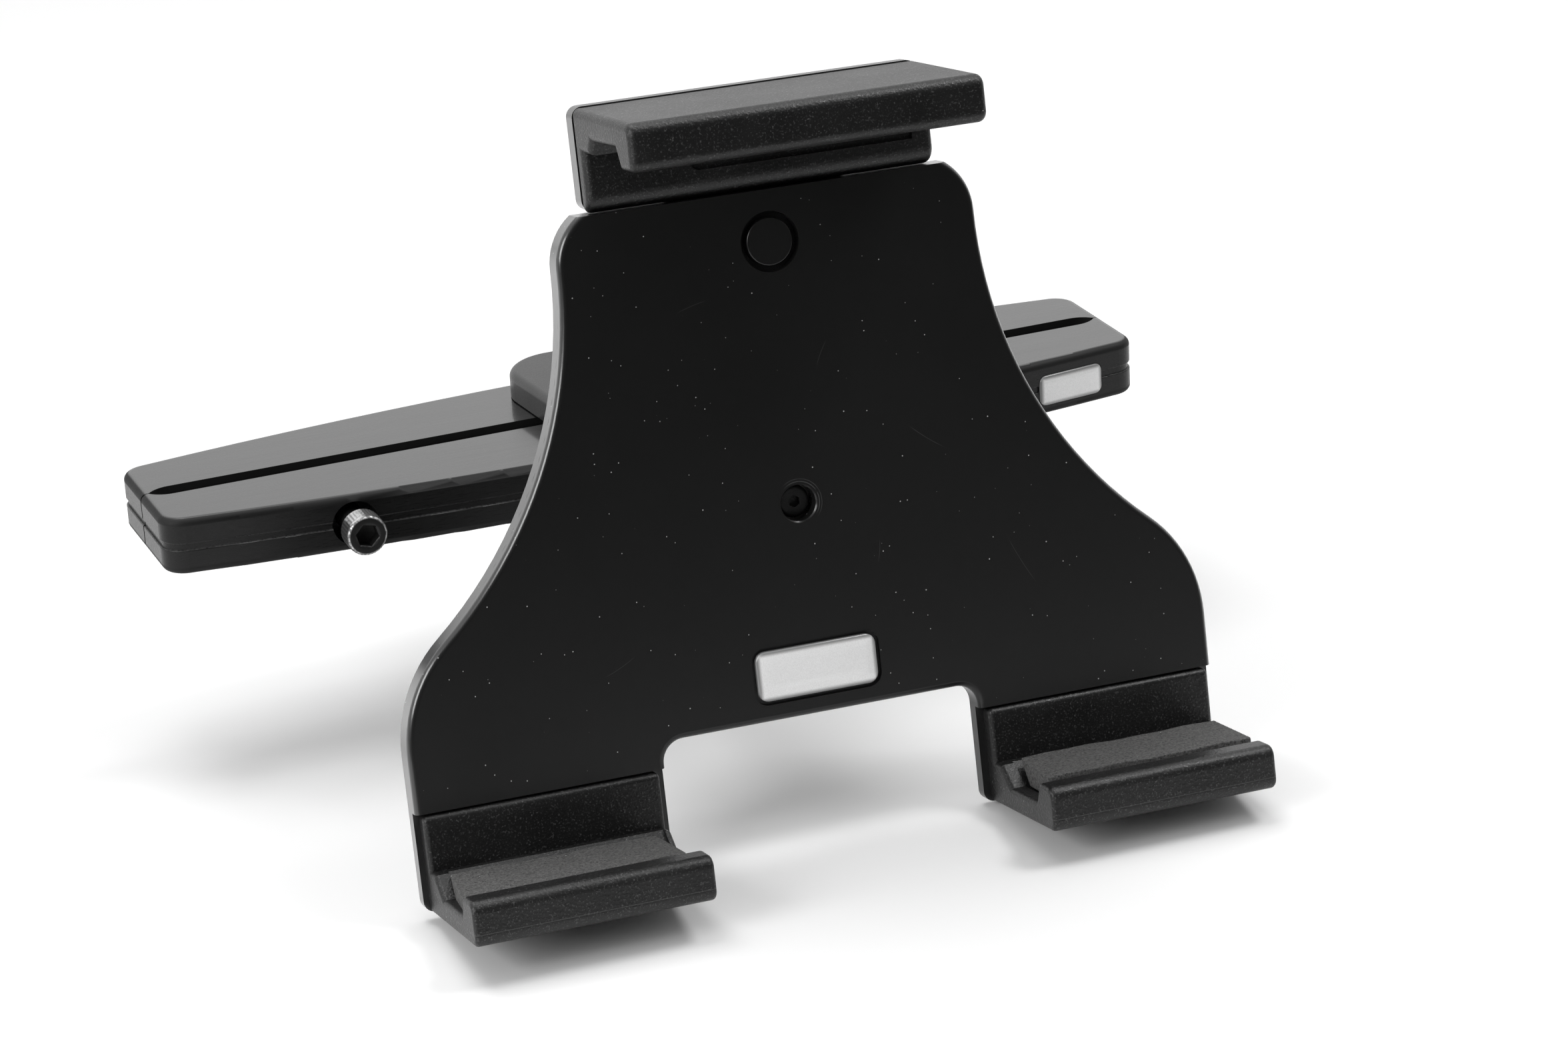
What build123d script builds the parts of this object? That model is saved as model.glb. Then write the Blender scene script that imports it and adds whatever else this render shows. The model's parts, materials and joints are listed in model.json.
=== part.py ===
from build123d import *
from math import asin, atan2, cos, degrees, radians, sin, sqrt
import os

# Tablet mount for the two rods of a car headrest, in millimetres.
# The origin is the centre of the slot that takes the rods, at the middle of the bar's height.
# +X runs along the bar, +Y points back to the seat, +Z runs up along the rods.
# The bar is two jaws that close on the rods. An arm on the front jaw carries a ball swivel,
# and the swivel carries a plate with two fixed hooks below and one sprung hook above.

# Driving sizes: the bar and its two jaws
BAR_LENGTH = 252.0
BAR_HALF_DEPTH = 30.0
BAR_BOW = 9.8
LAYER = 7.0
SLOT_WIDTH = 5.5
SLOT_NOSE_INSET = 7.4
SLOT_TIP_INSET = 2.0
SEAM_GAP = 0.15
BAR_CORNER = 6.0
BAR_EDGE = 1.7
GROOVE_HEIGHT = 1.6
GROOVE_DEEP = 0.5
GROOVE_EDGE = 0.3
JAW_TRAVEL = 9.5

# Driving sizes: the two clamp screws and their nuts
CLAMP_INSET = 44.8
CLAMP_DIAMETER = 6.0
CLAMP_LENGTH = 45.0
CLAMP_HEAD_DIAMETER = 10.0
CLAMP_HEAD = 6.0
CLAMP_SOCKET = 5.0
CLAMP_HEAD_Y = -29.4
CLAMP_BORE = 6.6
CLAMP_SINK_DIAMETER = 11.0
CLAMP_SINK_SPARE = 0.4
CLAMP_BORE_SPARE = 2.0
CLAMP_KNURLS = 30
KNURL_RADIUS = 0.42
KNURL_OUT = 0.18
KNURL_SHORT = 1.6
CLAMP_HEAD_BEVEL = 0.5
CLAMP_TIP_BEVEL = 0.6
NUT_FLATS = 10.0
NUT_HEIGHT = 5.0
NUT_Y = 9.0
NUT_PLAY = 0.05

# Driving sizes: the arm
ARM_THICK = 7.0
ARM_EDGE = 1.8
ARM_REAR_Y = 29.5
ARM_REAR_CORNER = 13.0
ARM_REAR_HALF = 27.7
ARM_FRONT_HALF = 20.1
ARM_RELIEF = 0.3
ARM_DISC_DIAMETER = 40.0
ARM_DISC = 6.0
ARM_RIB = 4.0
ARM_RIB_RUN = 22.0
ARM_RIB_INSET = 4.0
DISC_ROUND = 1.0

# Driving sizes: the ball swivel
BALL_Y = -78.0
BALL_Z = 11.3
BALL_DIAMETER = 21.0
LINER_WALL = 2.85
BALL_PLAY = 0.15
NECK_DIAMETER = 10.0
COLLAR_DIAMETER = 15.0
COLLAR = 2.0
SPIGOT_DIAMETER = 8.0
CUP_DIAMETER = 37.0
CUP_REAR_WALL = 3.35
CUP_LIP = 2.0
RING_THICK = 6.0
RING_MOUTH = 23.2
TILT_MARGIN = 18.0
LINER_SLIT = 2.0

# Driving sizes: how the holder stands on the ball, in degrees
SWING = -1.52
LEAN = -11.02
SPIN = 0.62

# Driving sizes: the holder plate, seen from the front
BALL_DEPTH = 30.0
FRONT_PLATE = 3.0
BACK_PLATE = 3.3
PLATE_EDGE = 1.45
PLATE_TOP = 71.35
PLATE_BOTTOM = -54.65
NECK_HALF = 49.55
FOOT_HALF = 96.7
SHOULDER_DROP = 11.48
FOOT_ARC = 32.5
SIDE_ARC = 101.55
SHOULDER_ARC = 14.15
CUTOUT_HALF = 38.2
CUTOUT_TOP = -48.7
CUTOUT_CORNER = 5.0
FOOT_CORNER = 2.5
HOLE_DIAMETER = 8.3
HOLE_EDGE = 0.3
RIVET_Z = 59.6
RIVET_RECESS = 13.75
RIVET_HEAD = 10.8
RIVET_HEAD_SUNK = 0.2
RIVET_SHANK = 5.0
RIVET_TAIL = 1.5
RIVET_ROUND = 0.3

# Driving sizes: the two blank badges
BADGE_Z = -38.1
BADGE_LENGTH = 29.0
BADGE_HEIGHT = 11.5
BADGE_CORNER = 2.4
BADGE_PROUD = 0.7
BADGE_SINK = 0.9
BADGE_ROOM = 0.9
BAR_BADGE_INSET = 19.6
BAR_BADGE_Z = -0.6
BAR_BADGE_LENGTH = 18.2
BAR_BADGE_HEIGHT = 7.8
BAR_BADGE_THICK = 1.2
BAR_BADGE_SINK = 0.3
BAR_BADGE_CORNER = 1.9
BADGE_DOME = 0.6

# Driving sizes: the lower hooks, with heights up the plate and depths out of its face
HOOK_INNER_INSET = 1.85
HOOK_OUTER_INSET = 1.35
HOOK_TOP = -55.2
HOOK_BOTTOM = -77.6
HOOK_WALL_FACE = 0.8
HOOK_LEDGE = -67.7
HOOK_LEDGE_OUT = 4.3
HOOK_FLOOR = -72.2
HOOK_RAMP_FOOT = 9.5
HOOK_LIP_IN = 24.5
HOOK_LIP_TOP = -67.3
HOOK_LIP_OUT = 34.5
HOOK_LIP_LEAN = 2.6
HOOK_ROUND = 1.3
HOOK_END_ROUND = 1.1
PAD_POCKET = 0.7
POCKET_LEFT_END = 3.6
POCKET_RIGHT_END = 1.4
PAD_THICK = 4.6
PAD_PLAY = 0.3
PAD_CORNER = 5.0
PAD_LEFT_END = 4.1
PAD_RIGHT_END = 1.8

# Driving sizes: the sprung top hook, on the same heights and depths
TOP_HALF = 41.0
TOP_BASE = 71.45
TOP_BACK = 4.8
TOP_WALL_FACE = 0.5
TOP_LEDGE_OUT = 5.3
TOP_ROOF = 87.8
TOP_ROOF_THICK = 5.8
TOP_ROOF_RISE = 1.0
TOP_LEDGE_DROP = 3.0
TOP_LIP_DROP = 4.8
TOP_RAMP_OUT = 7.5
TOP_LIP_IN = 24.5
TOP_LIP_OUT = 35.7
TOP_REAR_ROUND = 0.5
TOP_BASE_ROUND = 4.2
TOP_END_ROUND = 1.8
TOP_RECESS_LEFT = -17.0
TOP_RECESS_RIGHT = 36.0
TOP_RECESS_HEIGHT = 5.8
TOP_RECESS_DROP = 1.2
TOP_RECESS_DEEP = 0.8
TOP_RECESS_CORNER = 2.6
TOP_TRAVEL = 28.0

# Driving sizes: the tongue behind the plate, its cover and its springs
TONGUE_THICK = 3.0
TONGUE_PLAY = 0.1
TONGUE_HALF = 20.0
TONGUE_FOOT = 24.0
TONGUE_SHOW = 0.25
TONGUE_INSET = 0.15
TONGUE_REVEAL = 0.35
TONGUE_PAD_INSET = 1.2
TONGUE_HEAD_GAP = 0.3
TONGUE_CORNER = 2.5
TONGUE_THROAT = 1.5
SPRING_X = 13.0
SPRING_DIAMETER = 4.2
SPRING_WIRE = 0.7
SPRING_TURNS = 9
SPRING_LOW = 27.5
SPRING_HIGH = 64.5
SPRING_ROOM = 0.4
LUG_HEIGHT = 3.0
COVER_WALL = 2.0
COVER_LIP = 4.5
COVER_FOOT = 21.5
COVER_TOP = 70.5
COVER_CORNER = 3.0
COVER_ROUND = 1.4
COVER_SCREW_INSET = 6.0

# Driving sizes: the swivel flange under the plate
FLANGE_LENGTH = 48.0
FLANGE_HEIGHT = 40.0
FLANGE_THICK = 4.0
FLANGE_CORNER = 6.0
FLANGE_BEVEL = 0.6
FLANGE_HOLES_X = 19.0
FLANGE_HOLES_Z = 14.5
PIVOT_PLAY = 0.06

# Driving sizes: the small screws, each as thread diameter, length, head diameter and head height
SCREW_PLAY = 0.05
HEAD_PLAY = 0.25
JAW_SCREW = (3.5, 9.5, 6.8, 2.4)
ARM_SCREW = (4.0, 17.0, 7.6, 2.8)
CUP_SCREW = (3.0, 10.5, 5.6, 2.2)
RING_SCREW = (2.5, 10.0, 4.4, 1.8)
FLANGE_SCREW = (3.5, 6.6, 6.4, 1.9)
PLATE_SCREW = (2.5, 4.7, 4.6, 1.4)
HOOK_SCREW = (3.0, 9.6, 5.6, 1.7)
TOP_SCREW = (3.0, 8.0, 5.6, 1.7)
COVER_SCREW = (2.5, 4.6, 4.4, 1.8)
PIVOT_SCREW = (4.0, 12.0, 7.6, 2.1)
WASHER_DIAMETER = 13.0
WASHER_THICK = 1.0
WASHER_PLAY = 0.4
WASHER_ROOM = 2.0
PIVOT_SOCKET = 2.5
JAW_SCREW_INNER = (52.0, 15.0)
JAW_SCREW_OUTER_INSET = (21.0, 14.0)
ARM_SCREW_X = 15.0
ARM_SCREW_Y = (-9.0, -22.0)
CUP_SCREW_RING = 15.0
RING_SCREW_RING = 16.0
PLATE_SCREW_PLACES = ((39.0, 58.0), (52.0, 5.0), (72.0, -38.0), (34.0, -40.0))
HOOK_SCREW_INSET = 12.0
HOOK_SCREW_Z = -72.4
TONGUE_SCREW_X = 28.0
TONGUE_SCREW_DROP = 5.8
DRIVE_SLOT = 0.8

# Sizes that follow from the ones above
BAR_HALF = BAR_LENGTH / 2
SLOT_HALF = SLOT_WIDTH / 2
SLOT_NOSE_X = BAR_HALF - SLOT_NOSE_INSET
SLOT_TIP_X = BAR_HALF - SLOT_TIP_INSET
CLAMP_X = BAR_HALF - CLAMP_INSET
BAR_BADGE_X = BAR_HALF - BAR_BADGE_INSET
JAW_SCREW_OUTER = (BAR_HALF - JAW_SCREW_OUTER_INSET[0], JAW_SCREW_OUTER_INSET[1])
CLAMP_SINK_Y = CLAMP_HEAD_Y + JAW_TRAVEL + CLAMP_SINK_SPARE
ARM_FLOOR = LAYER
ARM_TOP = ARM_FLOOR + ARM_THICK
BALL_RADIUS = BALL_DIAMETER / 2
LINER_INNER = BALL_RADIUS + BALL_PLAY
LINER_OUTER = LINER_INNER + LINER_WALL
CUP_INNER = LINER_OUTER + BALL_PLAY
CUP_BASE_Y = BALL_Y + CUP_INNER + CUP_REAR_WALL
CUP_FRONT_Y = BALL_Y - CUP_LIP
RING_FRONT_Y = CUP_FRONT_Y - RING_THICK
STACK = FRONT_PLATE + BACK_PLATE
FLANGE_BACK = STACK + FLANGE_THICK
TONGUE_FRONT = STACK + TONGUE_PLAY
TONGUE_BACK = TONGUE_FRONT + TONGUE_THICK
COVER_INSIDE = TONGUE_BACK + RIVET_TAIL + 2 * TONGUE_PLAY
COVER_BACK = COVER_INSIDE + COVER_WALL
HOOK_INNER = CUTOUT_HALF + HOOK_INNER_INSET
HOOK_OUTER = FOOT_HALF - HOOK_OUTER_INSET
TOP_FRONT = TOP_ROOF + TOP_ROOF_THICK
TOP_REAR = TOP_FRONT + TOP_ROOF_RISE
TOP_LEDGE = TOP_ROOF - TOP_LEDGE_DROP
TOP_LIP_BOTTOM = TOP_ROOF - TOP_LIP_DROP
TOP_RECESS_TOP = TOP_LEDGE - TOP_RECESS_DROP
TOP_RECESS_BOTTOM = TOP_RECESS_TOP - TOP_RECESS_HEIGHT
TONGUE_TOP = TOP_REAR + TONGUE_SHOW
TONGUE_HEAD = PLATE_TOP + TONGUE_HEAD_GAP
TONGUE_SCREW_Z = TOP_ROOF - TONGUE_SCREW_DROP
BADGE_SLOPE = degrees(atan2(2 * BAR_BOW * BAR_BADGE_X, BAR_HALF ** 2))


def rod_y(diameter, y_low, y_high, x=0, z=0):
    """A round bar along Y between two depths."""
    return Pos(x, (y_low + y_high) / 2, z) * Rot(90, 0, 0) * Cylinder(diameter / 2, y_high - y_low)


def hex_y(flats, y_low, y_high, x=0, z=0):
    """A hexagonal bar along Y, with two of its flats level."""
    prism = extrude(RegularPolygon(flats / 2, 6, major_radius=False, rotation=30), y_high - y_low)
    return Pos(x, y_high, z) * Rot(90, 0, 0) * prism


def block(x_low, x_high, y_low, y_high, z_low, z_high):
    """A plain box given by its six sides."""
    centre = Pos((x_low + x_high) / 2, (y_low + y_high) / 2, (z_low + z_high) / 2)
    return centre * Box(x_high - x_low, y_high - y_low, z_high - z_low)


def pan_screw(size):
    """A pan-head screw: the shank runs down from z = 0, the head stands up with a driving slot."""
    thread, length, head, height = size
    body = Pos(0, 0, -length / 2) * Cylinder(thread / 2, length)
    top = Pos(0, 0, height / 2) * Cylinder(head / 2, height)
    top = fillet(top.edges().group_by(Axis.Z)[-1], height * 0.35)
    slot_one = Pos(0, 0, height) * Box(head * 0.55, DRIVE_SLOT, height)
    slot_two = Pos(0, 0, height) * Box(DRIVE_SLOT, head * 0.55, height)
    return body + top - slot_one - slot_two


def flat_screw(size):
    """A countersunk screw: its flat head is flush at z = 0 and the shank runs down to -length."""
    thread, length, head, height = size
    body = Pos(0, 0, -(length + height / 2) / 2) * Cylinder(thread / 2, length - height / 2)
    cone = Pos(0, 0, -height / 2) * Cone(thread / 2, head / 2, height)
    slot_one = Box(head * 0.5, DRIVE_SLOT, height)
    slot_two = Box(DRIVE_SLOT, head * 0.5, height)
    return body + cone - slot_one - slot_two


def pan_hole(size, depth_above):
    """The room that a pan-head screw needs, with its counterbore open upward."""
    thread, length, head, height = size
    shank = Pos(0, 0, -length / 2) * Cylinder(thread / 2 + SCREW_PLAY, length + 2 * SCREW_PLAY)
    room = Pos(0, 0, depth_above / 2) * Cylinder(head / 2 + HEAD_PLAY, depth_above)
    return shank + room


def flat_hole(size):
    """The room that a countersunk screw needs."""
    thread, length, head, height = size
    shank = Pos(0, 0, -length / 2) * Cylinder(thread / 2 + SCREW_PLAY, length + 2 * SCREW_PLAY)
    cone = Pos(0, 0, -height / 2) * Cone(thread / 2, head / 2, height)
    return shank + offset(cone, SCREW_PLAY, kind=Kind.INTERSECTION) + cone


def jaw_plan(side):
    """The outline of one jaw seen from above: a bowed edge, two ends and half of the slot."""
    seam = side * SEAM_GAP / 2
    inner = side * SLOT_HALF
    middle = side * BAR_HALF_DEPTH
    end = side * (BAR_HALF_DEPTH - BAR_BOW)
    edges = [
        Line((-BAR_HALF, seam), (-SLOT_TIP_X, seam)),
        TangentArc((-SLOT_NOSE_X, inner), (-SLOT_TIP_X, seam), tangent=(-1, 0)),
        Line((-SLOT_NOSE_X, inner), (SLOT_NOSE_X, inner)),
        TangentArc((SLOT_NOSE_X, inner), (SLOT_TIP_X, seam), tangent=(1, 0)),
        Line((SLOT_TIP_X, seam), (BAR_HALF, seam)),
        Line((BAR_HALF, seam), (BAR_HALF, end)),
        ThreePointArc((BAR_HALF, end), (0, middle), (-BAR_HALF, end)),
        Line((-BAR_HALF, end), (-BAR_HALF, seam)),
    ]
    return make_face(edges)


def bar_groove():
    """The shallow groove that runs round the bar between its two layers."""
    end = BAR_HALF_DEPTH - BAR_BOW
    edges = [
        Line((BAR_HALF, -end), (BAR_HALF, end)),
        ThreePointArc((BAR_HALF, end), (0, BAR_HALF_DEPTH), (-BAR_HALF, end)),
        Line((-BAR_HALF, end), (-BAR_HALF, -end)),
        ThreePointArc((-BAR_HALF, -end), (0, -BAR_HALF_DEPTH), (BAR_HALF, -end)),
    ]
    outline = make_face(edges)
    outline = fillet(outline.vertices(), BAR_CORNER)
    ring = offset(outline, GROOVE_DEEP) - offset(outline, -GROOVE_DEEP)
    return Pos(0, 0, -GROOVE_HEIGHT / 2) * extrude(ring, GROOVE_HEIGHT)


def on_bar_front(shape):
    """Put a shape that is drawn flat, facing up, on the bowed front where the bar's badge is fixed."""
    front_y = -(BAR_HALF_DEPTH - BAR_BOW * (BAR_BADGE_X / BAR_HALF) ** 2)
    place = Pos(BAR_BADGE_X, front_y, BAR_BADGE_Z) * Rot(0, 0, BADGE_SLOPE)
    return place * Rot(90, 0, 0) * Pos(0, 0, -BAR_BADGE_SINK) * shape


def bar_badge_block(grow, thick):
    """The bar badge's outline, raised to a block."""
    outline = RectangleRounded(BAR_BADGE_LENGTH + grow, BAR_BADGE_HEIGHT + grow, BAR_BADGE_CORNER)
    return extrude(outline, thick)


def screw_places(side):
    """Where the screws that join the two layers of a jaw stand."""
    spots = [(s * x, y) for x, y in (JAW_SCREW_OUTER, JAW_SCREW_INNER) for s in (-1, 1)]
    return [Pos(x, side * y, -LAYER + JAW_SCREW[3]) * Rot(180, 0, 0) for x, y in spots]


def arm_screw_places():
    """Where the screws that hold the arm come up through the front jaw."""
    xs = (-ARM_SCREW_X, ARM_SCREW_X)
    return [Pos(x, y, -LAYER + ARM_SCREW[3]) * Rot(180, 0, 0) for x in xs for y in ARM_SCREW_Y]


def jaw_layer(side, level):
    """One layer of a jaw. side is -1 in front and 1 behind, level is 1 above and -1 below."""
    low = 0 if level > 0 else -LAYER
    layer = Pos(0, 0, low) * extrude(jaw_plan(side), LAYER)
    corners = [e for e in layer.edges().filter_by(Axis.Z) if abs(e.center().Y) > BAR_HALF_DEPTH / 2]
    layer = fillet(corners, BAR_CORNER)
    outside = [e for e in layer.edges() if abs(e.center().Y) > SLOT_WIDTH]
    outer_rim = [e for e in outside if abs(e.center().Z - level * LAYER) < 0.01]
    layer = fillet(outer_rim, BAR_EDGE)
    layer -= bar_groove()
    groove_rim = [e for e in layer.edges() if abs(e.center().Z - level * GROOVE_HEIGHT / 2) < 0.01]
    groove_rim = [e for e in groove_rim if abs(e.center().Y) > BAR_HALF_DEPTH - 0.01]
    layer = fillet(groove_rim, GROOVE_EDGE)
    for x in (-CLAMP_X, CLAMP_X):
        if side < 0:
            layer -= rod_y(CLAMP_BORE, -BAR_HALF_DEPTH - 1, 0, x)
            layer -= rod_y(CLAMP_SINK_DIAMETER, -BAR_HALF_DEPTH - 1, CLAMP_SINK_Y, x)
        else:
            bore_end = CLAMP_HEAD_Y + CLAMP_LENGTH + CLAMP_BORE_SPARE
            layer -= rod_y(CLAMP_BORE, 0, bore_end, x)
            layer -= hex_y(NUT_FLATS + 2 * NUT_PLAY, NUT_Y - NUT_PLAY, NUT_Y + NUT_HEIGHT + NUT_PLAY, x)
    for place in screw_places(side):
        layer -= place * pan_hole(JAW_SCREW, LAYER)
    if side < 0:
        for place in arm_screw_places():
            layer -= place * pan_hole(ARM_SCREW, LAYER)
        layer -= on_bar_front(bar_badge_block(BADGE_ROOM / 3, LAYER))
    return layer


def clamp_screw(x):
    """A socket-head cap screw along Y, with a knurled head and a hexagonal socket."""
    head = rod_y(CLAMP_HEAD_DIAMETER, CLAMP_HEAD_Y - CLAMP_HEAD, CLAMP_HEAD_Y, x)
    head = chamfer(head.edges().group_by(Axis.Y)[0], CLAMP_HEAD_BEVEL)
    notch = Pos(CLAMP_HEAD_DIAMETER / 2 + KNURL_OUT, 0, 0) * Cylinder(KNURL_RADIUS, CLAMP_HEAD - KNURL_SHORT)
    centre = Pos(x, CLAMP_HEAD_Y - CLAMP_HEAD / 2, 0) * Rot(90, 0, 0)
    notches = [centre * Rot(0, 0, 360 * k / CLAMP_KNURLS) * notch for k in range(CLAMP_KNURLS)]
    head -= notches
    head -= hex_y(CLAMP_SOCKET, CLAMP_HEAD_Y - CLAMP_HEAD, CLAMP_HEAD_Y - CLAMP_HEAD / 2, x)
    shank = rod_y(CLAMP_DIAMETER, CLAMP_HEAD_Y, CLAMP_HEAD_Y + CLAMP_LENGTH, x)
    shank = chamfer(shank.edges().group_by(Axis.Y)[-1], CLAMP_TIP_BEVEL)
    return head + shank


def clamp_nut(x):
    """A hexagonal nut that sits in a pocket shared by both layers of the rear jaw."""
    nut = hex_y(NUT_FLATS, NUT_Y, NUT_Y + NUT_HEIGHT, x)
    return nut - rod_y(CLAMP_DIAMETER + 2 * NUT_PLAY, NUT_Y - 1, NUT_Y + NUT_HEIGHT + 1, x)


def cup_screw_places():
    """Where the screws that hold the ball cup pass through the arm's disc."""
    reach = CUP_SCREW_RING / sqrt(2)
    signs = ((1, 1), (1, -1), (-1, 1), (-1, -1))
    return [Pos(a * reach, CUP_BASE_Y + ARM_DISC, BALL_Z + b * reach) * Rot(-90, 0, 0) for a, b in signs]


def arm():
    """A flat arm on the front jaw, tapered to a round disc that faces forward, with two ribs."""
    disc_back = CUP_BASE_Y + ARM_DISC
    corners = [(-ARM_REAR_HALF, ARM_REAR_Y), (ARM_REAR_HALF, ARM_REAR_Y),
               (ARM_FRONT_HALF, CUP_BASE_Y), (-ARM_FRONT_HALF, CUP_BASE_Y)]
    plate = Pos(0, 0, ARM_FLOOR) * extrude(make_face(Polyline(*corners, close=True)), ARM_THICK)
    rear = [e for e in plate.edges().filter_by(Axis.Z) if e.center().Y > 0]
    plate = fillet(rear, ARM_REAR_CORNER)
    rim = [e for e in plate.edges() if abs(e.center().Z - ARM_TOP) < 0.01]
    rim = [e for e in rim if e.center().Y > CUP_BASE_Y + 1]
    plate = fillet(rim, ARM_EDGE)
    plate -= block(-BAR_HALF, BAR_HALF, -SLOT_HALF, ARM_REAR_Y + 1, 0, ARM_FLOOR + ARM_RELIEF)
    disc = rod_y(ARM_DISC_DIAMETER, CUP_BASE_Y, disc_back, 0, BALL_Z)
    disc = fillet(disc.edges().group_by(Axis.Y)[-1], DISC_ROUND)
    rib_top = BALL_Z + ARM_DISC_DIAMETER / 2 - ARM_RIB_INSET
    rib_low = BALL_Z - ARM_DISC_DIAMETER / 2 + ARM_RIB_INSET
    over = Polyline((disc_back - 1, ARM_TOP - 1), (disc_back - 1, rib_top),
                    (disc_back + ARM_RIB_RUN, ARM_TOP - 1), close=True)
    under = Polyline((disc_back - 1, ARM_FLOOR + 1), (disc_back - 1, rib_low),
                     (disc_back + ARM_RIB_RUN, ARM_FLOOR + 1), close=True)
    ribs = [Plane.YZ * make_face(outline) for outline in (over, under)]
    body = plate + disc
    for rib in ribs:
        body += Pos(-ARM_RIB / 2, 0, 0) * extrude(rib, ARM_RIB, dir=(1, 0, 0))
    for place in arm_screw_places():
        body -= place * pan_hole(ARM_SCREW, LAYER)
    for place in cup_screw_places():
        body -= place * pan_hole(CUP_SCREW, CUP_SCREW[3] + 1)
    return body


def ball_cup():
    """The rear half of the ball's housing, screwed to the arm's disc."""
    body = rod_y(CUP_DIAMETER, CUP_FRONT_Y, CUP_BASE_Y, 0, BALL_Z)
    body -= Pos(0, BALL_Y, BALL_Z) * Sphere(CUP_INNER)
    for place in cup_screw_places():
        body -= place * pan_hole(CUP_SCREW, 1)
    for place in ring_screw_places():
        body -= place * pan_hole(RING_SCREW, 1)
    return body


def ring_screw_places():
    """Where the screws of the clamp ring stand, around its mouth."""
    seat = RING_FRONT_Y + RING_SCREW[3] + 0.2
    spots = [on_arc((0, BALL_Z), RING_SCREW_RING, angle) for angle in (0, 90, 180, 270)]
    return [Pos(x, seat, z) * Rot(90, 0, 0) for x, z in spots]


def clamp_ring():
    """The front half of the ball's housing, with a flared mouth for the neck."""
    body = rod_y(CUP_DIAMETER, RING_FRONT_Y, CUP_FRONT_Y, 0, BALL_Z)
    body = fillet(body.edges().group_by(Axis.Y)[0], DISC_ROUND)
    body -= Pos(0, BALL_Y, BALL_Z) * Sphere(CUP_INNER)
    body -= rod_y(RING_MOUTH, RING_FRONT_Y - 1, CUP_FRONT_Y, 0, BALL_Z)
    for place in ring_screw_places():
        body -= place * pan_hole(RING_SCREW, RING_THICK)
    return body


def about_ball(shape, swing=0, lean=0, spin=0):
    """Turn a shape that is drawn around the ball's centre and put it in its place on the bar."""
    return Pos(0, BALL_Y, BALL_Z) * Rot(0, 0, swing) * Rot(lean, 0, 0) * Rot(0, spin, 0) * shape


def on_holder(shape):
    """Put a shape that is drawn on the holder's own plate in its place on the bar."""
    return about_ball(Pos(0, -BALL_DEPTH, 0) * shape, SWING, LEAN, SPIN)


def socket_liner():
    """A split plastic shell that grips the ball and turns with it from side to side."""
    neck_angle = degrees(asin(NECK_DIAMETER / 2 / LINER_INNER)) + TILT_MARGIN
    mouth = LINER_INNER * cos(radians(neck_angle))
    shell = Sphere(LINER_OUTER) - Sphere(LINER_INNER)
    shell -= block(-LINER_OUTER, LINER_OUTER, -LINER_OUTER - 1, -mouth, -LINER_OUTER, LINER_OUTER)
    shell -= block(-LINER_OUTER, LINER_OUTER, BALL_RADIUS - 1, LINER_OUTER + 1, -LINER_OUTER, LINER_OUTER)
    shell -= block(0, LINER_OUTER + 1, -LINER_OUTER, LINER_OUTER, -LINER_SLIT / 2, LINER_SLIT / 2)
    return about_ball(shell, SWING)


def ball_stud():
    """The ball with its neck, collar and spigot, drilled for the pivot screw."""
    seat = -(BALL_DEPTH - FLANGE_BACK)
    spigot_end = seat - FLANGE_THICK + 0.2
    body = Sphere(BALL_RADIUS) + rod_y(NECK_DIAMETER, seat, 0)
    body += rod_y(COLLAR_DIAMETER, seat, seat + COLLAR)
    body += rod_y(SPIGOT_DIAMETER, spigot_end, seat)
    body -= rod_y(PIVOT_SCREW[0] + 2 * SCREW_PLAY, spigot_end - 1, spigot_end + PIVOT_SCREW[1])
    return about_ball(body, SWING, LEAN)


def pivot_washer():
    """The washer that holds the flange against the collar."""
    face = STACK - BALL_DEPTH
    washer = rod_y(WASHER_DIAMETER, face - WASHER_THICK, face)
    washer -= rod_y(PIVOT_SCREW[0] + WASHER_PLAY, face - WASHER_THICK - 1, face + 1)
    return about_ball(washer, SWING, LEAN)


def pivot_screw():
    """The screw that sets how stiffly the holder spins, reached through the plate's hole."""
    thread, length, head, height = PIVOT_SCREW
    under = STACK - BALL_DEPTH - WASHER_THICK
    top = fillet(rod_y(head, under - height, under).edges().group_by(Axis.Y)[0], height * 0.45)
    body = top + rod_y(thread, under, under + length)
    body -= hex_y(PIVOT_SOCKET, under - height, under - height / 3)
    return about_ball(body, SWING, LEAN)


def flange_screw_places():
    """Where the screws of the swivel flange stand, seen on the back of the plate."""
    xs = (-FLANGE_HOLES_X, FLANGE_HOLES_X)
    zs = (-FLANGE_HOLES_Z, FLANGE_HOLES_Z)
    return [Pos(x, FLANGE_BACK, z) * Rot(-90, 0, 0) for x in xs for z in zs]


def swivel_flange():
    """The plate on the spigot that the holder is screwed to."""
    outline = RectangleRounded(FLANGE_LENGTH, FLANGE_HEIGHT, FLANGE_CORNER)
    body = Pos(0, FLANGE_BACK, 0) * Rot(90, 0, 0) * extrude(outline, FLANGE_THICK)
    body = chamfer(body.edges().group_by(Axis.Y)[-1], FLANGE_BEVEL)
    body -= rod_y(SPIGOT_DIAMETER + 2 * PIVOT_PLAY, STACK - 1, FLANGE_BACK + 1)
    for place in flange_screw_places():
        body -= place * flat_hole(FLANGE_SCREW)
    return on_holder(body)


def on_arc(centre, radius, angle):
    """A point on an arc, by its angle from +X in degrees."""
    return centre[0] + radius * cos(radians(angle)), centre[1] + radius * sin(radians(angle))


def bearing(start, end):
    """The angle from one point to another, in degrees from +X."""
    return degrees(atan2(end[1] - start[1], end[0] - start[0]))


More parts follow.
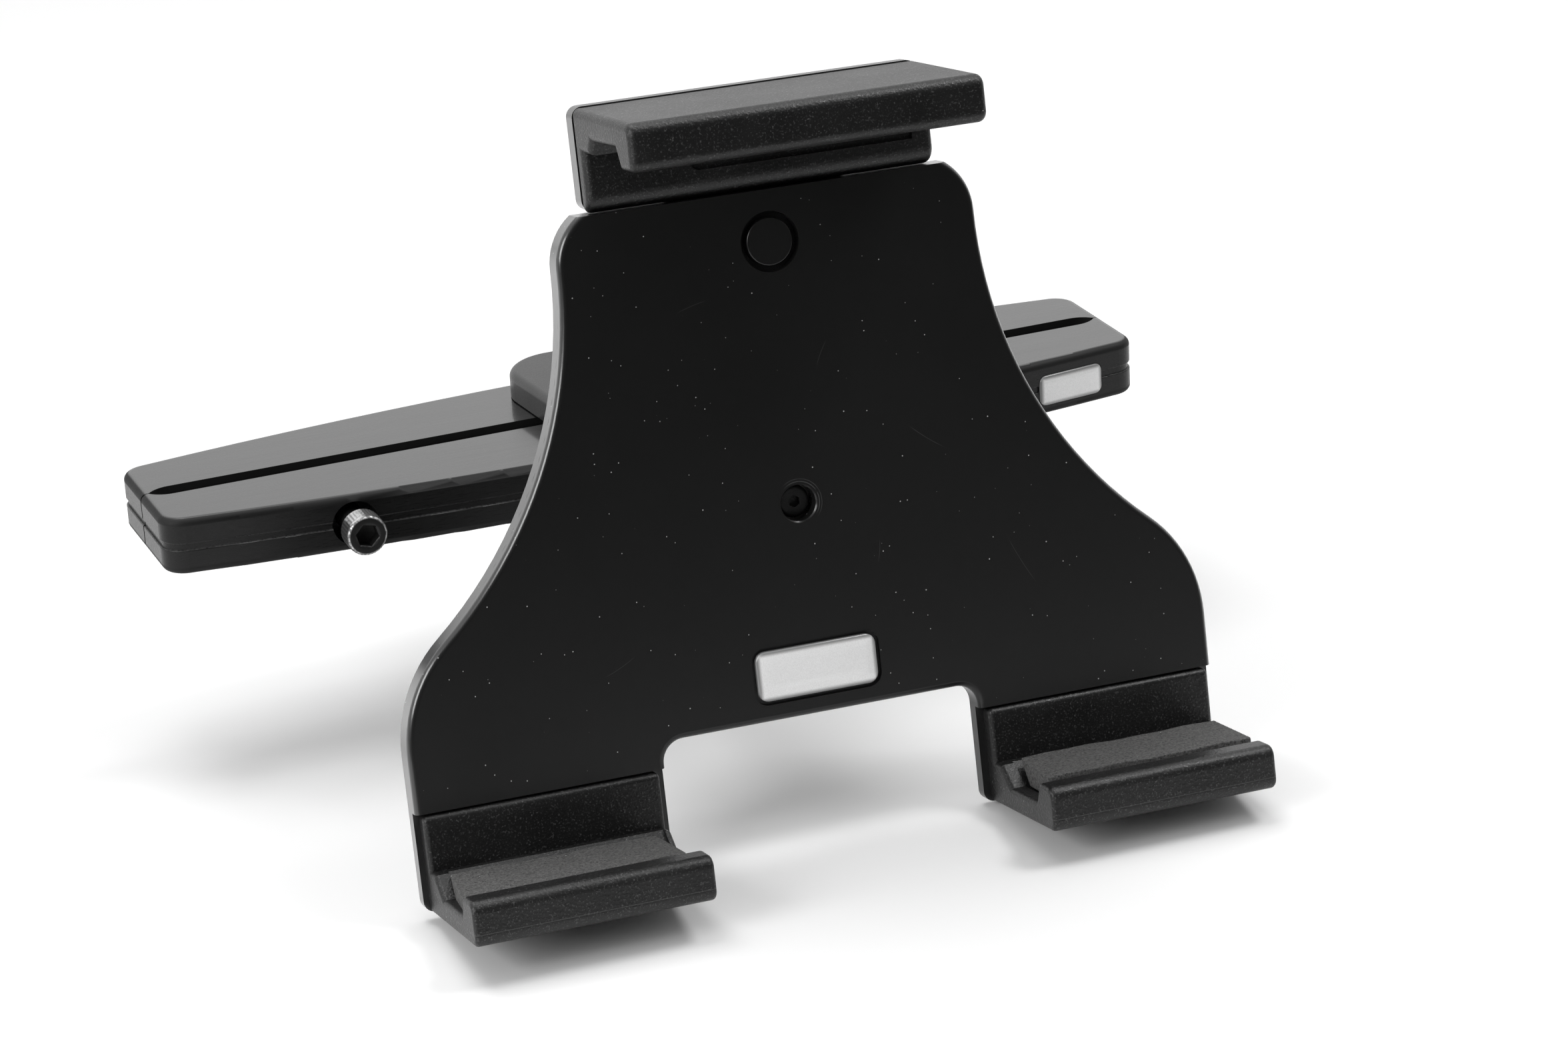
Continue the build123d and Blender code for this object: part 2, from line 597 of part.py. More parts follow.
def plate_face(bottom):
    """The outline of a plate: round shoulders, a narrow neck and wide feet, all in tangent arcs."""
    reach = SIDE_ARC + FOOT_ARC
    side = (NECK_HALF + SIDE_ARC, PLATE_TOP - SHOULDER_DROP)
    foot_x = FOOT_HALF - FOOT_ARC
    foot = (foot_x, side[1] - sqrt(reach ** 2 - (side[0] - foot_x) ** 2))
    shoulder = (NECK_HALF - SHOULDER_ARC, side[1])
    to_foot = bearing(foot, side)
    rise = degrees(asin((PLATE_TOP - shoulder[1]) / SHOULDER_ARC))
    top = on_arc(shoulder, SHOULDER_ARC, rise)
    neck = on_arc(shoulder, SHOULDER_ARC, 0)
    blend = on_arc(foot, FOOT_ARC, to_foot)
    widest = on_arc(foot, FOOT_ARC, 0)
    edges = [
        Line((0, PLATE_TOP), top),
        ThreePointArc(top, on_arc(shoulder, SHOULDER_ARC, rise / 2), neck),
        ThreePointArc(neck, on_arc(side, -SIDE_ARC, to_foot / 2), blend),
        ThreePointArc(blend, on_arc(foot, FOOT_ARC, to_foot / 2), widest),
        Line(widest, (FOOT_HALF, bottom)),
        Line((FOOT_HALF, bottom), (0, bottom)),
        Line((0, bottom), (0, PLATE_TOP)),
    ]
    half = make_face(edges)
    depth = CUTOUT_TOP - HOOK_BOTTOM
    gap = Pos(0, CUTOUT_TOP - depth) * RectangleRounded(2 * CUTOUT_HALF, 2 * depth, CUTOUT_CORNER)
    return half + mirror(half, about=Plane.YZ) - gap


def stand_up(face, y_front, thick):
    """Raise a face drawn in X and height to a slab that runs back from y_front."""
    return Pos(0, y_front + thick, 0) * Rot(90, 0, 0) * extrude(face, thick)


def plate_screw_places():
    """Where the screws that join the two plates stand, on the back."""
    spots = [(s * x, z) for x, z in PLATE_SCREW_PLACES for s in (-1, 1)]
    return [Pos(x, STACK, z) * Rot(-90, 0, 0) for x, z in spots]


def front_plate():
    """The front plate, rounded along its sides, with the badge's recess and two round openings."""
    body = stand_up(plate_face(PLATE_BOTTOM), 0, FRONT_PLATE)
    rim = [e for e in body.edges() if abs(e.center().Y) < 0.01]
    level = (PLATE_TOP, PLATE_BOTTOM)
    rounded = [e for e in rim if all(abs(e.center().Z - height) > 0.01 for height in level)]
    body = fillet(rounded, PLATE_EDGE)
    body -= rod_y(HOLE_DIAMETER, -1, FRONT_PLATE + 1)
    round_edges = body.edges().filter_by(GeomType.CIRCLE)
    hole_rim = [e for e in round_edges if abs(e.radius - HOLE_DIAMETER / 2) < 0.01]
    hole_rim = [e for e in hole_rim if abs(e.center().Y) < 0.01]
    body = chamfer(hole_rim, HOLE_EDGE)
    body -= rod_y(RIVET_RECESS, -1, FRONT_PLATE + 1, 0, RIVET_Z)
    length = BADGE_LENGTH + 2 * BADGE_ROOM
    height = BADGE_HEIGHT + 2 * BADGE_ROOM
    recess = RectangleRounded(length, height, BADGE_CORNER + BADGE_ROOM)
    body -= Pos(0, 0, BADGE_Z) * stand_up(recess, -1, BADGE_SINK + 1)
    for place in plate_screw_places():
        body -= place * flat_hole(PLATE_SCREW)
    return body


def back_plate():
    """The back plate: the same outline carried down behind the hooks."""
    body = stand_up(plate_face(HOOK_BOTTOM), FRONT_PLATE, BACK_PLATE)
    feet = [e for e in body.edges().filter_by(Axis.Y) if abs(e.center().Z - HOOK_BOTTOM) < 0.01]
    body = fillet(feet, FOOT_CORNER)
    body -= rod_y(WASHER_DIAMETER + WASHER_ROOM, 0, STACK + 1)
    body -= rod_y(RIVET_SHANK + 2 * SCREW_PLAY, 0, STACK + 1, 0, RIVET_Z)
    for place in plate_screw_places():
        body -= place * flat_hole(PLATE_SCREW)
    for place in hook_screw_places(-1) + hook_screw_places(1):
        body -= place * flat_hole(HOOK_SCREW)
    for place in flange_screw_places():
        body -= place * flat_hole(FLANGE_SCREW)
    for place in cover_screw_places():
        body -= place * pan_hole(COVER_SCREW, COVER_LIP)
    return body


def guide_rivet():
    """The rivet whose head shows in the round recess and whose shank guides the tongue."""
    tail_front = TONGUE_BACK + TONGUE_PLAY
    head = rod_y(RIVET_HEAD, RIVET_HEAD_SUNK, FRONT_PLATE, 0, RIVET_Z)
    head = fillet(head.edges().group_by(Axis.Y)[0], RIVET_ROUND)
    shank = rod_y(RIVET_SHANK, FRONT_PLATE, tail_front, 0, RIVET_Z)
    tail = rod_y(RIVET_HEAD, tail_front, tail_front + RIVET_TAIL, 0, RIVET_Z)
    return head + shank + tail


def plate_badge():
    """A blank badge with softly domed edges, seated in the plate's recess."""
    outline = RectangleRounded(BADGE_LENGTH, BADGE_HEIGHT, BADGE_CORNER)
    body = Pos(0, 0, BADGE_Z) * stand_up(outline, -BADGE_PROUD, BADGE_PROUD + BADGE_SINK)
    return fillet(body.edges().group_by(Axis.Y)[0], BADGE_DOME)


def bar_badge():
    """The smaller blank badge on the right of the bar's front."""
    body = bar_badge_block(0, BAR_BADGE_THICK)
    return on_bar_front(fillet(body.edges().group_by(Axis.Z)[-1], BADGE_DOME))


def depth_profile(points):
    """A closed outline from points given as (depth out of the plate, height up the plate)."""
    return make_face(Polyline(*[(-out, up) for out, up in points], close=True))


def along_x(face, x_low, x_high):
    """Carry an outline drawn in depth and height along X."""
    return Pos(x_low, 0, 0) * extrude(Plane.YZ * face, x_high - x_low, dir=(1, 0, 0))


def hook_profile():
    """The section of a lower hook: wall, ledge, ramp, floor and lip."""
    lip_ramp = HOOK_LIP_IN + HOOK_LIP_LEAN
    points = [(-FRONT_PLATE, HOOK_TOP), (HOOK_WALL_FACE, HOOK_TOP), (HOOK_WALL_FACE, HOOK_LEDGE),
              (HOOK_LEDGE_OUT, HOOK_LEDGE), (HOOK_RAMP_FOOT, HOOK_FLOOR), (HOOK_LIP_IN, HOOK_FLOOR),
              (lip_ramp, HOOK_LIP_TOP), (HOOK_LIP_OUT, HOOK_LIP_TOP), (HOOK_LIP_OUT, HOOK_BOTTOM),
              (-FRONT_PLATE, HOOK_BOTTOM)]
    return depth_profile(points)


def pocket_ramp(height):
    """How far out the pocket's ramp stands at a height: parallel to the hook's ramp, and deeper."""
    slope = (HOOK_LEDGE - HOOK_FLOOR) / (HOOK_RAMP_FOOT - HOOK_LEDGE_OUT)
    return HOOK_RAMP_FOOT - PAD_POCKET - (height - (HOOK_FLOOR - PAD_POCKET)) / slope


def pocket_profile():
    """The shallow pocket cut in the ramp and floor that keeps the pad in place."""
    low = HOOK_FLOOR - PAD_POCKET
    back = pocket_ramp(HOOK_LEDGE)
    points = [(back, HOOK_LEDGE + 1), (HOOK_LIP_IN, HOOK_LEDGE + 1), (HOOK_LIP_IN, low),
              (pocket_ramp(low), low), (back, HOOK_LEDGE)]
    return depth_profile(points)


def hook_screw_places(side):
    """Where the screws of one lower hook stand, on the back of the back plate."""
    xs = (side * (HOOK_INNER + HOOK_SCREW_INSET), side * (HOOK_OUTER - HOOK_SCREW_INSET))
    return [Pos(x, STACK, HOOK_SCREW_Z) * Rot(-90, 0, 0) for x in xs]


def lower_hook(side):
    """One fixed hook below: a channel that the tablet's edge stands in."""
    low, high = sorted((side * HOOK_INNER, side * HOOK_OUTER))
    body = along_x(hook_profile(), low, high)
    long_edges = body.edges().filter_by(Axis.X)
    lip = [e for e in long_edges if e.center().Y < -HOOK_LIP_OUT + 0.01]
    crest = [e for e in long_edges if abs(e.center().Z - HOOK_LIP_TOP) < 0.01]
    crest = [e for e in crest if e.center().Y > -HOOK_LIP_OUT + 1]
    wall_top = [e for e in long_edges if abs(e.center().Z - HOOK_TOP) < 0.01 and e.center().Y < 0]
    body = fillet(lip, 2 * HOOK_ROUND)
    body = fillet(body.edges().filter_by(lambda e: any_near(e, crest)), HOOK_ROUND)
    body = fillet(body.edges().filter_by(lambda e: any_near(e, wall_top)), HOOK_ROUND)
    ends = body.faces().filter_by(Axis.X)
    rim = [e for f in ends for e in f.edges() if e.center().Y < FRONT_PLATE - 0.01]
    rim = [e for e in rim if e.center().Z > HOOK_BOTTOM + 0.01]
    body = fillet(rim, HOOK_END_ROUND)
    body -= along_x(pocket_profile(), low + POCKET_LEFT_END, high - POCKET_RIGHT_END)
    for place in hook_screw_places(side):
        body -= place * flat_hole(HOOK_SCREW)
    return body


def any_near(edge, others):
    """True where an edge lies on one of the edges that were noted before a change."""
    return any((edge.center() - other.center()).length < 0.01 for other in others)


def lower_pad(side):
    """A foam strip that lies in a hook's channel between the ramp and the lip."""
    low = HOOK_FLOOR - PAD_POCKET + PAD_PLAY
    top = low + PAD_THICK
    front = HOOK_LIP_IN - PAD_PLAY
    points = [(pocket_ramp(low) + PAD_PLAY, low), (pocket_ramp(top) + PAD_PLAY, top),
              (front, top), (front, low)]
    left, right = sorted((side * HOOK_INNER, side * HOOK_OUTER))
    body = along_x(depth_profile(points), left + PAD_LEFT_END, right - PAD_RIGHT_END)
    corners = [e for e in body.edges().filter_by(Axis.Z) if e.center().Y < -front + 0.1]
    return fillet(corners, PAD_CORNER)


def top_profile():
    """The section of the top hook: wall, ledge, ramp, roof and lip."""
    points = [(-TOP_BACK, TOP_BASE), (TOP_WALL_FACE, TOP_BASE), (TOP_WALL_FACE, TOP_LEDGE),
              (TOP_LEDGE_OUT, TOP_LEDGE), (TOP_RAMP_OUT, TOP_ROOF), (TOP_LIP_IN, TOP_ROOF),
              (TOP_LIP_IN + HOOK_LIP_LEAN, TOP_LIP_BOTTOM), (TOP_LIP_OUT, TOP_LIP_BOTTOM),
              (TOP_LIP_OUT, TOP_FRONT), (-TOP_BACK, TOP_REAR)]
    return depth_profile(points)


def top_screw_places():
    """Where the screws that join the top hook to its tongue stand, on the tongue's back."""
    xs = (-TONGUE_SCREW_X, 0, TONGUE_SCREW_X)
    return [Pos(x, TONGUE_BACK, TONGUE_SCREW_Z) * Rot(-90, 0, 0) for x in xs]


def top_hook():
    """The sprung hook above, with a shallow recess in its wall."""
    body = along_x(top_profile(), -TOP_HALF, TOP_HALF)
    long_edges = body.edges().filter_by(Axis.X)
    lip = [e for e in long_edges if e.center().Y < -TOP_LIP_OUT + 0.01]
    body = fillet(lip, 2 * HOOK_ROUND)
    back = [e for e in body.edges().filter_by(Axis.X) if abs(e.center().Z - TOP_REAR) < 0.01]
    body = fillet(back, TOP_REAR_ROUND)
    base = [e for e in body.edges().filter_by(Axis.X) if abs(e.center().Z - TOP_BASE) < 0.01]
    base = [e for e in base if e.center().Y < 0]
    body = fillet(base, TOP_BASE_ROUND)
    ends = body.faces().filter_by(Axis.X)
    rim = [e for f in ends for e in f.edges() if e.center().Y < TOP_BACK - 0.01]
    body = fillet(rim, TOP_END_ROUND)
    width = TOP_RECESS_RIGHT - TOP_RECESS_LEFT
    height = TOP_RECESS_TOP - TOP_RECESS_BOTTOM
    middle = Pos((TOP_RECESS_LEFT + TOP_RECESS_RIGHT) / 2, 0, (TOP_RECESS_BOTTOM + TOP_RECESS_TOP) / 2)
    recess = middle * stand_up(Rectangle(width, height), -TOP_WALL_FACE - 1, TOP_RECESS_DEEP + 1)
    left = [e for e in recess.edges().filter_by(Axis.Y) if e.center().X < middle.position.X]
    recess = fillet(left, TOP_RECESS_CORNER)
    body -= recess
    for place in top_screw_places():
        body -= place * flat_hole(TOP_SCREW)
    return body


def tongue():
    """The slide behind the plate: a wide head under the hook and a narrow slotted tail."""
    head_width = 2 * (TOP_HALF - TONGUE_INSET)
    head_height = TONGUE_TOP - TONGUE_HEAD
    head_middle = Pos(0, (TONGUE_HEAD + TONGUE_TOP) / 2)
    head_face = TOP_BACK + TONGUE_REVEAL
    head = stand_up(head_middle * RectangleRounded(head_width, head_height, TONGUE_CORNER),
                    head_face, TONGUE_BACK - head_face)
    pad_size = (head_width - 2 * TONGUE_PAD_INSET, head_height - 2 * TONGUE_PAD_INSET)
    pad_face = TOP_BACK + TONGUE_PLAY / 2
    pad = stand_up(head_middle * Rectangle(*pad_size), pad_face, TONGUE_REVEAL)
    tail_top = TONGUE_HEAD + TONGUE_PAD_INSET
    tail = Pos(0, (TONGUE_FOOT + tail_top) / 2) * Rectangle(2 * TONGUE_HALF, tail_top - TONGUE_FOOT)
    slot_width = RIVET_SHANK + 4 * TONGUE_PLAY
    slot_mid = Pos(0, RIVET_Z - TOP_TRAVEL / 2)
    slot_length = TOP_TRAVEL + slot_width
    slot = slot_mid * Rot(0, 0, 90) * SlotOverall(slot_length, slot_width)
    window_width = SPRING_DIAMETER + 2 * SPRING_ROOM
    window_high = SPRING_HIGH + LUG_HEIGHT + SPRING_ROOM
    window = Pos(0, (SPRING_LOW + window_high) / 2) * Rectangle(window_width, window_high - SPRING_LOW)
    face = tail - slot - Pos(-SPRING_X, 0) * window - Pos(SPRING_X, 0) * window
    slide = stand_up(face, TONGUE_FRONT, TONGUE_THICK)
    feet = [e for e in slide.edges().filter_by(Axis.Y) if abs(e.center().Z - TONGUE_FOOT) < 0.01]
    body = fillet(feet, TONGUE_CORNER) + head + pad
    throat = [e for e in body.edges().filter_by(Axis.Y) if abs(e.center().Z - TONGUE_HEAD) < 0.01]
    throat = [e for e in throat if abs(e.center().X) < TONGUE_HALF + 0.01]
    body = fillet(throat, TONGUE_THROAT)
    for place in top_screw_places():
        body -= place * flat_hole(TOP_SCREW)
    return body


def cover_screw_places():
    """Where the screws of the spring cover stand, on its two side flanges."""
    x = TONGUE_HALF + COVER_WALL + COVER_LIP
    zs = (COVER_FOOT + COVER_SCREW_INSET, COVER_TOP - COVER_SCREW_INSET)
    return [Pos(s * x, STACK + COVER_WALL, z) * Rot(-90, 0, 0) for s in (-1, 1) for z in zs]


def spring_cover():
    """The cover over the tongue, with side flanges for its screws and two lugs for the springs."""
    inside = TONGUE_HALF + 3 * TONGUE_PLAY
    outside = inside + COVER_WALL
    flange = outside + 2 * COVER_LIP
    body = block(-outside, outside, STACK, COVER_BACK, COVER_FOOT, COVER_TOP)
    rear = [e for e in body.edges() if abs(e.center().Y - COVER_BACK) < 0.01]
    body = fillet(rear, COVER_ROUND)
    wings = block(-flange, flange, STACK, STACK + COVER_WALL, COVER_FOOT, COVER_TOP)
    wings = fillet(wings.edges().filter_by(Axis.Y), COVER_CORNER)
    body += wings
    body -= block(-inside, inside, STACK - 1, COVER_INSIDE, COVER_FOOT + COVER_WALL, COVER_TOP + 1)
    half = SPRING_DIAMETER / 2
    lug_top = SPRING_HIGH + LUG_HEIGHT
    for x in (-SPRING_X, SPRING_X):
        body += block(x - half, x + half, TONGUE_FRONT, COVER_INSIDE + 0.5, SPRING_HIGH, lug_top)
    for place in cover_screw_places():
        body -= place * pan_hole(COVER_SCREW, COVER_LIP)
    return body


def return_spring(x):
    """A coil spring in one window of the tongue, squeezed between its foot and the fixed lug."""
    middle = (TONGUE_FRONT + COVER_INSIDE) / 2
    wire = SPRING_WIRE / 2
    low = SPRING_LOW + wire + TONGUE_PLAY
    high = SPRING_HIGH - wire - TONGUE_PLAY
    path = Pos(0, 0, low) * Helix((high - low) / SPRING_TURNS, high - low, SPRING_DIAMETER / 2 - wire)
    start = path @ 0
    section = Plane(origin=start, z_dir=path % 0) * Circle(wire)
    return Pos(x, middle, 0) * sweep(section, path)


def group(solids):
    """Several separate solids of one kind, kept as one sub-part."""
    return Compound(children=list(solids))


def write(name, shape):
    """Save one sub-part under its own name."""
    export_step(shape, os.path.join("parts", name + ".step"))


def main():
    os.makedirs("parts", exist_ok=True)

    # The front jaw, the arm and the ball's housing stand still
    write("front_jaw_upper", jaw_layer(-1, 1))
    write("front_jaw_lower", jaw_layer(-1, -1))
    write("front_jaw_screws", group(place * pan_screw(JAW_SCREW) for place in screw_places(-1)))
    write("arm", arm())
    write("arm_screws", group(place * pan_screw(ARM_SCREW) for place in arm_screw_places()))
    write("ball_cup", ball_cup())
    write("cup_screws", group(place * pan_screw(CUP_SCREW) for place in cup_screw_places()))
    write("clamp_ring", clamp_ring())
    write("clamp_ring_screws", group(place * pan_screw(RING_SCREW) for place in ring_screw_places()))
    write("bar_badge", bar_badge())

    # The rear jaw slides back, with its nuts and the two clamp screws in them
    write("rear_jaw_upper", jaw_layer(1, 1))
    write("rear_jaw_lower", jaw_layer(1, -1))
    write("rear_jaw_screws", group(place * pan_screw(JAW_SCREW) for place in screw_places(1)))
    write("clamp_nuts", group(clamp_nut(x) for x in (-CLAMP_X, CLAMP_X)))
    write("clamp_screw_left", clamp_screw(-CLAMP_X))
    write("clamp_screw_right", clamp_screw(CLAMP_X))

    # The swivel turns three ways about the ball's centre
    write("socket_liner", socket_liner())
    write("ball_stud", ball_stud())
    write("pivot_washer", pivot_washer())
    write("pivot_screw", pivot_screw())

    # The holder is drawn upright on its own plate and then put in its place
    write("swivel_flange", swivel_flange())
    write("flange_screws", on_holder(group(p * flat_screw(FLANGE_SCREW) for p in flange_screw_places())))
    write("front_plate", on_holder(front_plate()))
    write("back_plate", on_holder(back_plate()))
    write("plate_screws", on_holder(group(p * flat_screw(PLATE_SCREW) for p in plate_screw_places())))
    write("guide_rivet", on_holder(guide_rivet()))
    write("plate_badge", on_holder(plate_badge()))
    write("lower_left_hook", on_holder(lower_hook(-1)))
    write("lower_right_hook", on_holder(lower_hook(1)))
    hook_places = hook_screw_places(-1) + hook_screw_places(1)
    write("lower_hook_screws", on_holder(group(p * flat_screw(HOOK_SCREW) for p in hook_places)))
    write("lower_left_pad", on_holder(lower_pad(-1)))
    write("lower_right_pad", on_holder(lower_pad(1)))
    write("spring_cover", on_holder(spring_cover()))
    write("cover_screws", on_holder(group(p * pan_screw(COVER_SCREW) for p in cover_screw_places())))

    # The top hook slides up against its two springs
    write("top_hook", on_holder(top_hook()))
    write("top_hook_tongue", on_holder(tongue()))
    write("top_hook_screws", on_holder(group(p * flat_screw(TOP_SCREW) for p in top_screw_places())))
    write("return_springs", on_holder(group(return_spring(x) for x in (-SPRING_X, SPRING_X))))


main()
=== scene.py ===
# %% [markdown]
# # A tablet mount for the rods of a headrest
# The mount has three parts: a slotted bar that closes on the two rods, an arm with a ball swivel, and
# a plate whose fixed lower hooks and sprung top hook hold a tablet by its edges.
# Everything that carries load comes from the engineering model, which is loaded first and never
# changed. This notebook gives those parts their finishes, and builds by hand what a solid model
# doesn't show well: foam pads, domed badges, the worn cap screws and the coil springs.

# %% Load the frame
import json
import math

import bmesh
import bpy
import numpy as np
from mathutils import Matrix, Vector


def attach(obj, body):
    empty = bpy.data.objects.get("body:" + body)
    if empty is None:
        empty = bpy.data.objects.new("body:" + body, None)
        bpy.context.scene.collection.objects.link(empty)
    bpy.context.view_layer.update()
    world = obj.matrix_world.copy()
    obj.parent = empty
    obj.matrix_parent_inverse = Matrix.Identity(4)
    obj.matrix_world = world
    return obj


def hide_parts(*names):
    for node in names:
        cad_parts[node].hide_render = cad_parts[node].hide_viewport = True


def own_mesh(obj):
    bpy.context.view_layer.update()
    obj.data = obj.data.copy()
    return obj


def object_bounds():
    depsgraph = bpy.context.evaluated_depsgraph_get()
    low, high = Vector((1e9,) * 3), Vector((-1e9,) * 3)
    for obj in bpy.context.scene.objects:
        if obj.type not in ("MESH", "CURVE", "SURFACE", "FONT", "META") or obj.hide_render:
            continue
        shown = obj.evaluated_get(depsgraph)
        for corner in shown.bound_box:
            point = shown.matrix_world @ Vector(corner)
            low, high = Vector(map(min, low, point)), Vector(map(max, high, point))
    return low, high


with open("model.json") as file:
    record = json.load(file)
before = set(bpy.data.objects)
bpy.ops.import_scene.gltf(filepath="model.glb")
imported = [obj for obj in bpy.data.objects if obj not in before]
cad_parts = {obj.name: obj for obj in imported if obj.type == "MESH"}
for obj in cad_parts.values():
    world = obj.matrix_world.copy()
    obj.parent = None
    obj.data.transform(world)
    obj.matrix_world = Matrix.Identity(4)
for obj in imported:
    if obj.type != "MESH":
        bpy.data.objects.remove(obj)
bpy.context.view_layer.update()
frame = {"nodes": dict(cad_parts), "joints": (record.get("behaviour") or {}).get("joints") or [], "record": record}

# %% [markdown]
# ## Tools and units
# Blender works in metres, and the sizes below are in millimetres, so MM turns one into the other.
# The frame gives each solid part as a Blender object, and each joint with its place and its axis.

MM = 0.001
nodes = frame["nodes"]
joints = {joint["name"]: joint for joint in frame["joints"]}
print("sub-parts:", len(nodes), "joints:", len(joints))

# %% [markdown]
# ## The camera
# The photograph was taken with a long lens from a little above and to the left. The camera is placed
# by its three directions rather than aimed at a point, so that no roll is lost.

# %% Camera
CAMERA_PLACE = (-0.3548, -1.0195, 0.3953)
CAMERA_RIGHT = Vector((0.9248, -0.3769, -0.0522))
CAMERA_BACK = Vector((-0.3338, -0.8694, 0.3643))
LENS_MM = 107.07
SENSOR_MM = 36.0
NEAREST_SEEN = 0.01
FARTHEST_SEEN = 20.0


def add_camera():
    """A camera whose own X is CAMERA_RIGHT and whose own Z is CAMERA_BACK, squared up exactly."""
    data = bpy.data.cameras.new("photo_camera")
    data.lens = LENS_MM
    data.sensor_width = SENSOR_MM
    data.clip_start = NEAREST_SEEN
    data.clip_end = FARTHEST_SEEN
    back = CAMERA_BACK.normalized()
    up = back.cross(CAMERA_RIGHT).normalized()
    right = up.cross(back)
    camera = bpy.data.objects.new("photo_camera", data)
    bpy.context.collection.objects.link(camera)
    turned = Matrix((right, up, back)).transposed().to_4x4()
    camera.matrix_world = Matrix.Translation(CAMERA_PLACE) @ turned
    bpy.context.scene.camera = camera


add_camera()
print("camera looks along", tuple(round(-x, 3) for x in CAMERA_BACK))

# %% [markdown]
# ## The plate's own coordinates
# The holder leans and is turned a little on its ball. Its own directions can be read from two
# joints: the spin axis stands out of the plate's face, and the top hook slides up the plate. Working
# in (across, out, up) from the centre of the plate's hole keeps every later number simple.

# %% Plate coordinates
BALL_TO_FACE = 30.0
plate_out = np.array(joints["holder_spin"]["axis"], float)
plate_out /= np.linalg.norm(plate_out)
plate_up = np.array(joints["top_hook_slide"]["axis"], float)
plate_up /= np.linalg.norm(plate_up)
plate_across = np.cross(plate_up, plate_out)
plate_origin = np.array(joints["holder_spin"]["pos_m"], float) + BALL_TO_FACE * MM * plate_out


def on_plate(across, out, up):
    """Points in the shared frame, from millimetres on the plate: origin + across X + out Y + up Z."""
    across, out, up = np.broadcast_arrays(*(np.asarray(v, float) for v in (across, out, up)))
    weights = np.stack([across, out, up], -1) * MM
    return plate_origin + weights @ np.stack([plate_across, plate_out, plate_up])


print("plate faces", plate_out.round(3), "and rises", plate_up.round(3))

# %% [markdown]
# ## From a grid of points to a mesh
# Each new piece is a surface worked out on a grid of two parameters. The grid becomes quads between
# neighbouring points, and each of its rows closes into a ring. Points that fall together, as at
# a pole, are merged, and the faces are then turned outward.

# %% Grid to mesh
MERGE_WITHIN = 2e-6
DISSOLVE_UNDER = 1e-6


def grid_faces(rows, columns):
    """Corner numbers of the quads between neighbouring points of a grid of rings, as one array."""
    r = np.arange(rows - 1)[:, None]
    c = np.arange(columns)[None, :]
    next_r, next_c = r + 1, (c + 1) % columns
    corners = (r * columns + c, r * columns + next_c, next_r * columns + next_c, next_r * columns + c)
    return np.stack(np.broadcast_arrays(*corners), -1).reshape(-1, 4)


def surface_piece(name, points, material, smooth_angle=40.0):
    """A mesh object at the origin from one grid of points, or from a list of grids, in metres."""
    grids = points if isinstance(points, list) else [points]
    built = bmesh.new()
    for grid in grids:
        mesh = bpy.data.meshes.new("grid")
        faces = grid_faces(*grid.shape[:2])
        mesh.from_pydata(grid.reshape(-1, 3).tolist(), [], faces.tolist())
        built.from_mesh(mesh)
        bpy.data.meshes.remove(mesh)
    bmesh.ops.remove_doubles(built, verts=built.verts, dist=MERGE_WITHIN)
    bmesh.ops.dissolve_degenerate(built, dist=DISSOLVE_UNDER, edges=built.edges)
    bmesh.ops.recalc_face_normals(built, faces=built.faces)
    mesh = bpy.data.meshes.new(name)
    built.to_mesh(mesh)
    built.free()
    mesh.shade_smooth()
    mesh.set_sharp_from_angle(angle=math.radians(smooth_angle))
    piece = bpy.data.objects.new(name, mesh)
    bpy.context.collection.objects.link(piece)
    mesh.materials.append(material)
    print(name, "faces:", len(mesh.polygons))
    return piece


# %% [markdown]
# ## Shader maths in plain expressions
# A finish is a small program on the surface: noise, distances and masks that end in a colour,
# a roughness or a bump. Written as Python expressions, each sum or product adds its own Math node.
# A Reading wraps one output socket, and a Finish adds the nodes.

# %% Readings and finishes
MIX_FACTOR, MIX_FIRST, MIX_SECOND, MIX_RESULT = 0, 6, 7, 2


class Reading:
    """One number or vector that varies over a surface. Arithmetic on it adds Math nodes."""

    def __init__(self, finish, socket):
        self.finish = finish
        self.socket = socket

    def maths(self, operation, *terms):
        """One Math node, whose terms are Readings or plain numbers."""
        return self.finish.node("ShaderNodeMath", {"operation": operation}, dict(enumerate(terms)))

    def __add__(self, other):
        return self.maths("ADD", self, other)

    def __sub__(self, other):
        return self.maths("SUBTRACT", self, other)

    def __rsub__(self, other):
        return self.maths("SUBTRACT", other, self)

    def __mul__(self, other):
        return self.maths("MULTIPLY", self, other)

    def __gt__(self, other):
        return self.maths("GREATER_THAN", self, other)

    def __lt__(self, other):
        return self.maths("LESS_THAN", self, other)

    def __abs__(self):
        return self.maths("ABSOLUTE", self)

    __radd__ = __add__
    __rmul__ = __mul__

    def root(self):
        return self.maths("SQRT", self)

    def larger(self, other):
        return self.maths("MAXIMUM", self, other)

    def smaller(self, other):
        return self.maths("MINIMUM", self, other)

    def step(self, low, high, start=0.0, end=1.0):
        """Smoothly from start, where the reading is low, to end, where it is high."""
        limits = {"From Min": low, "From Max": high, "To Min": start, "To Max": end}
        how = {"interpolation_type": "SMOOTHSTEP"}
        return self.finish.node("ShaderNodeMapRange", how, {"Value": self, **limits})


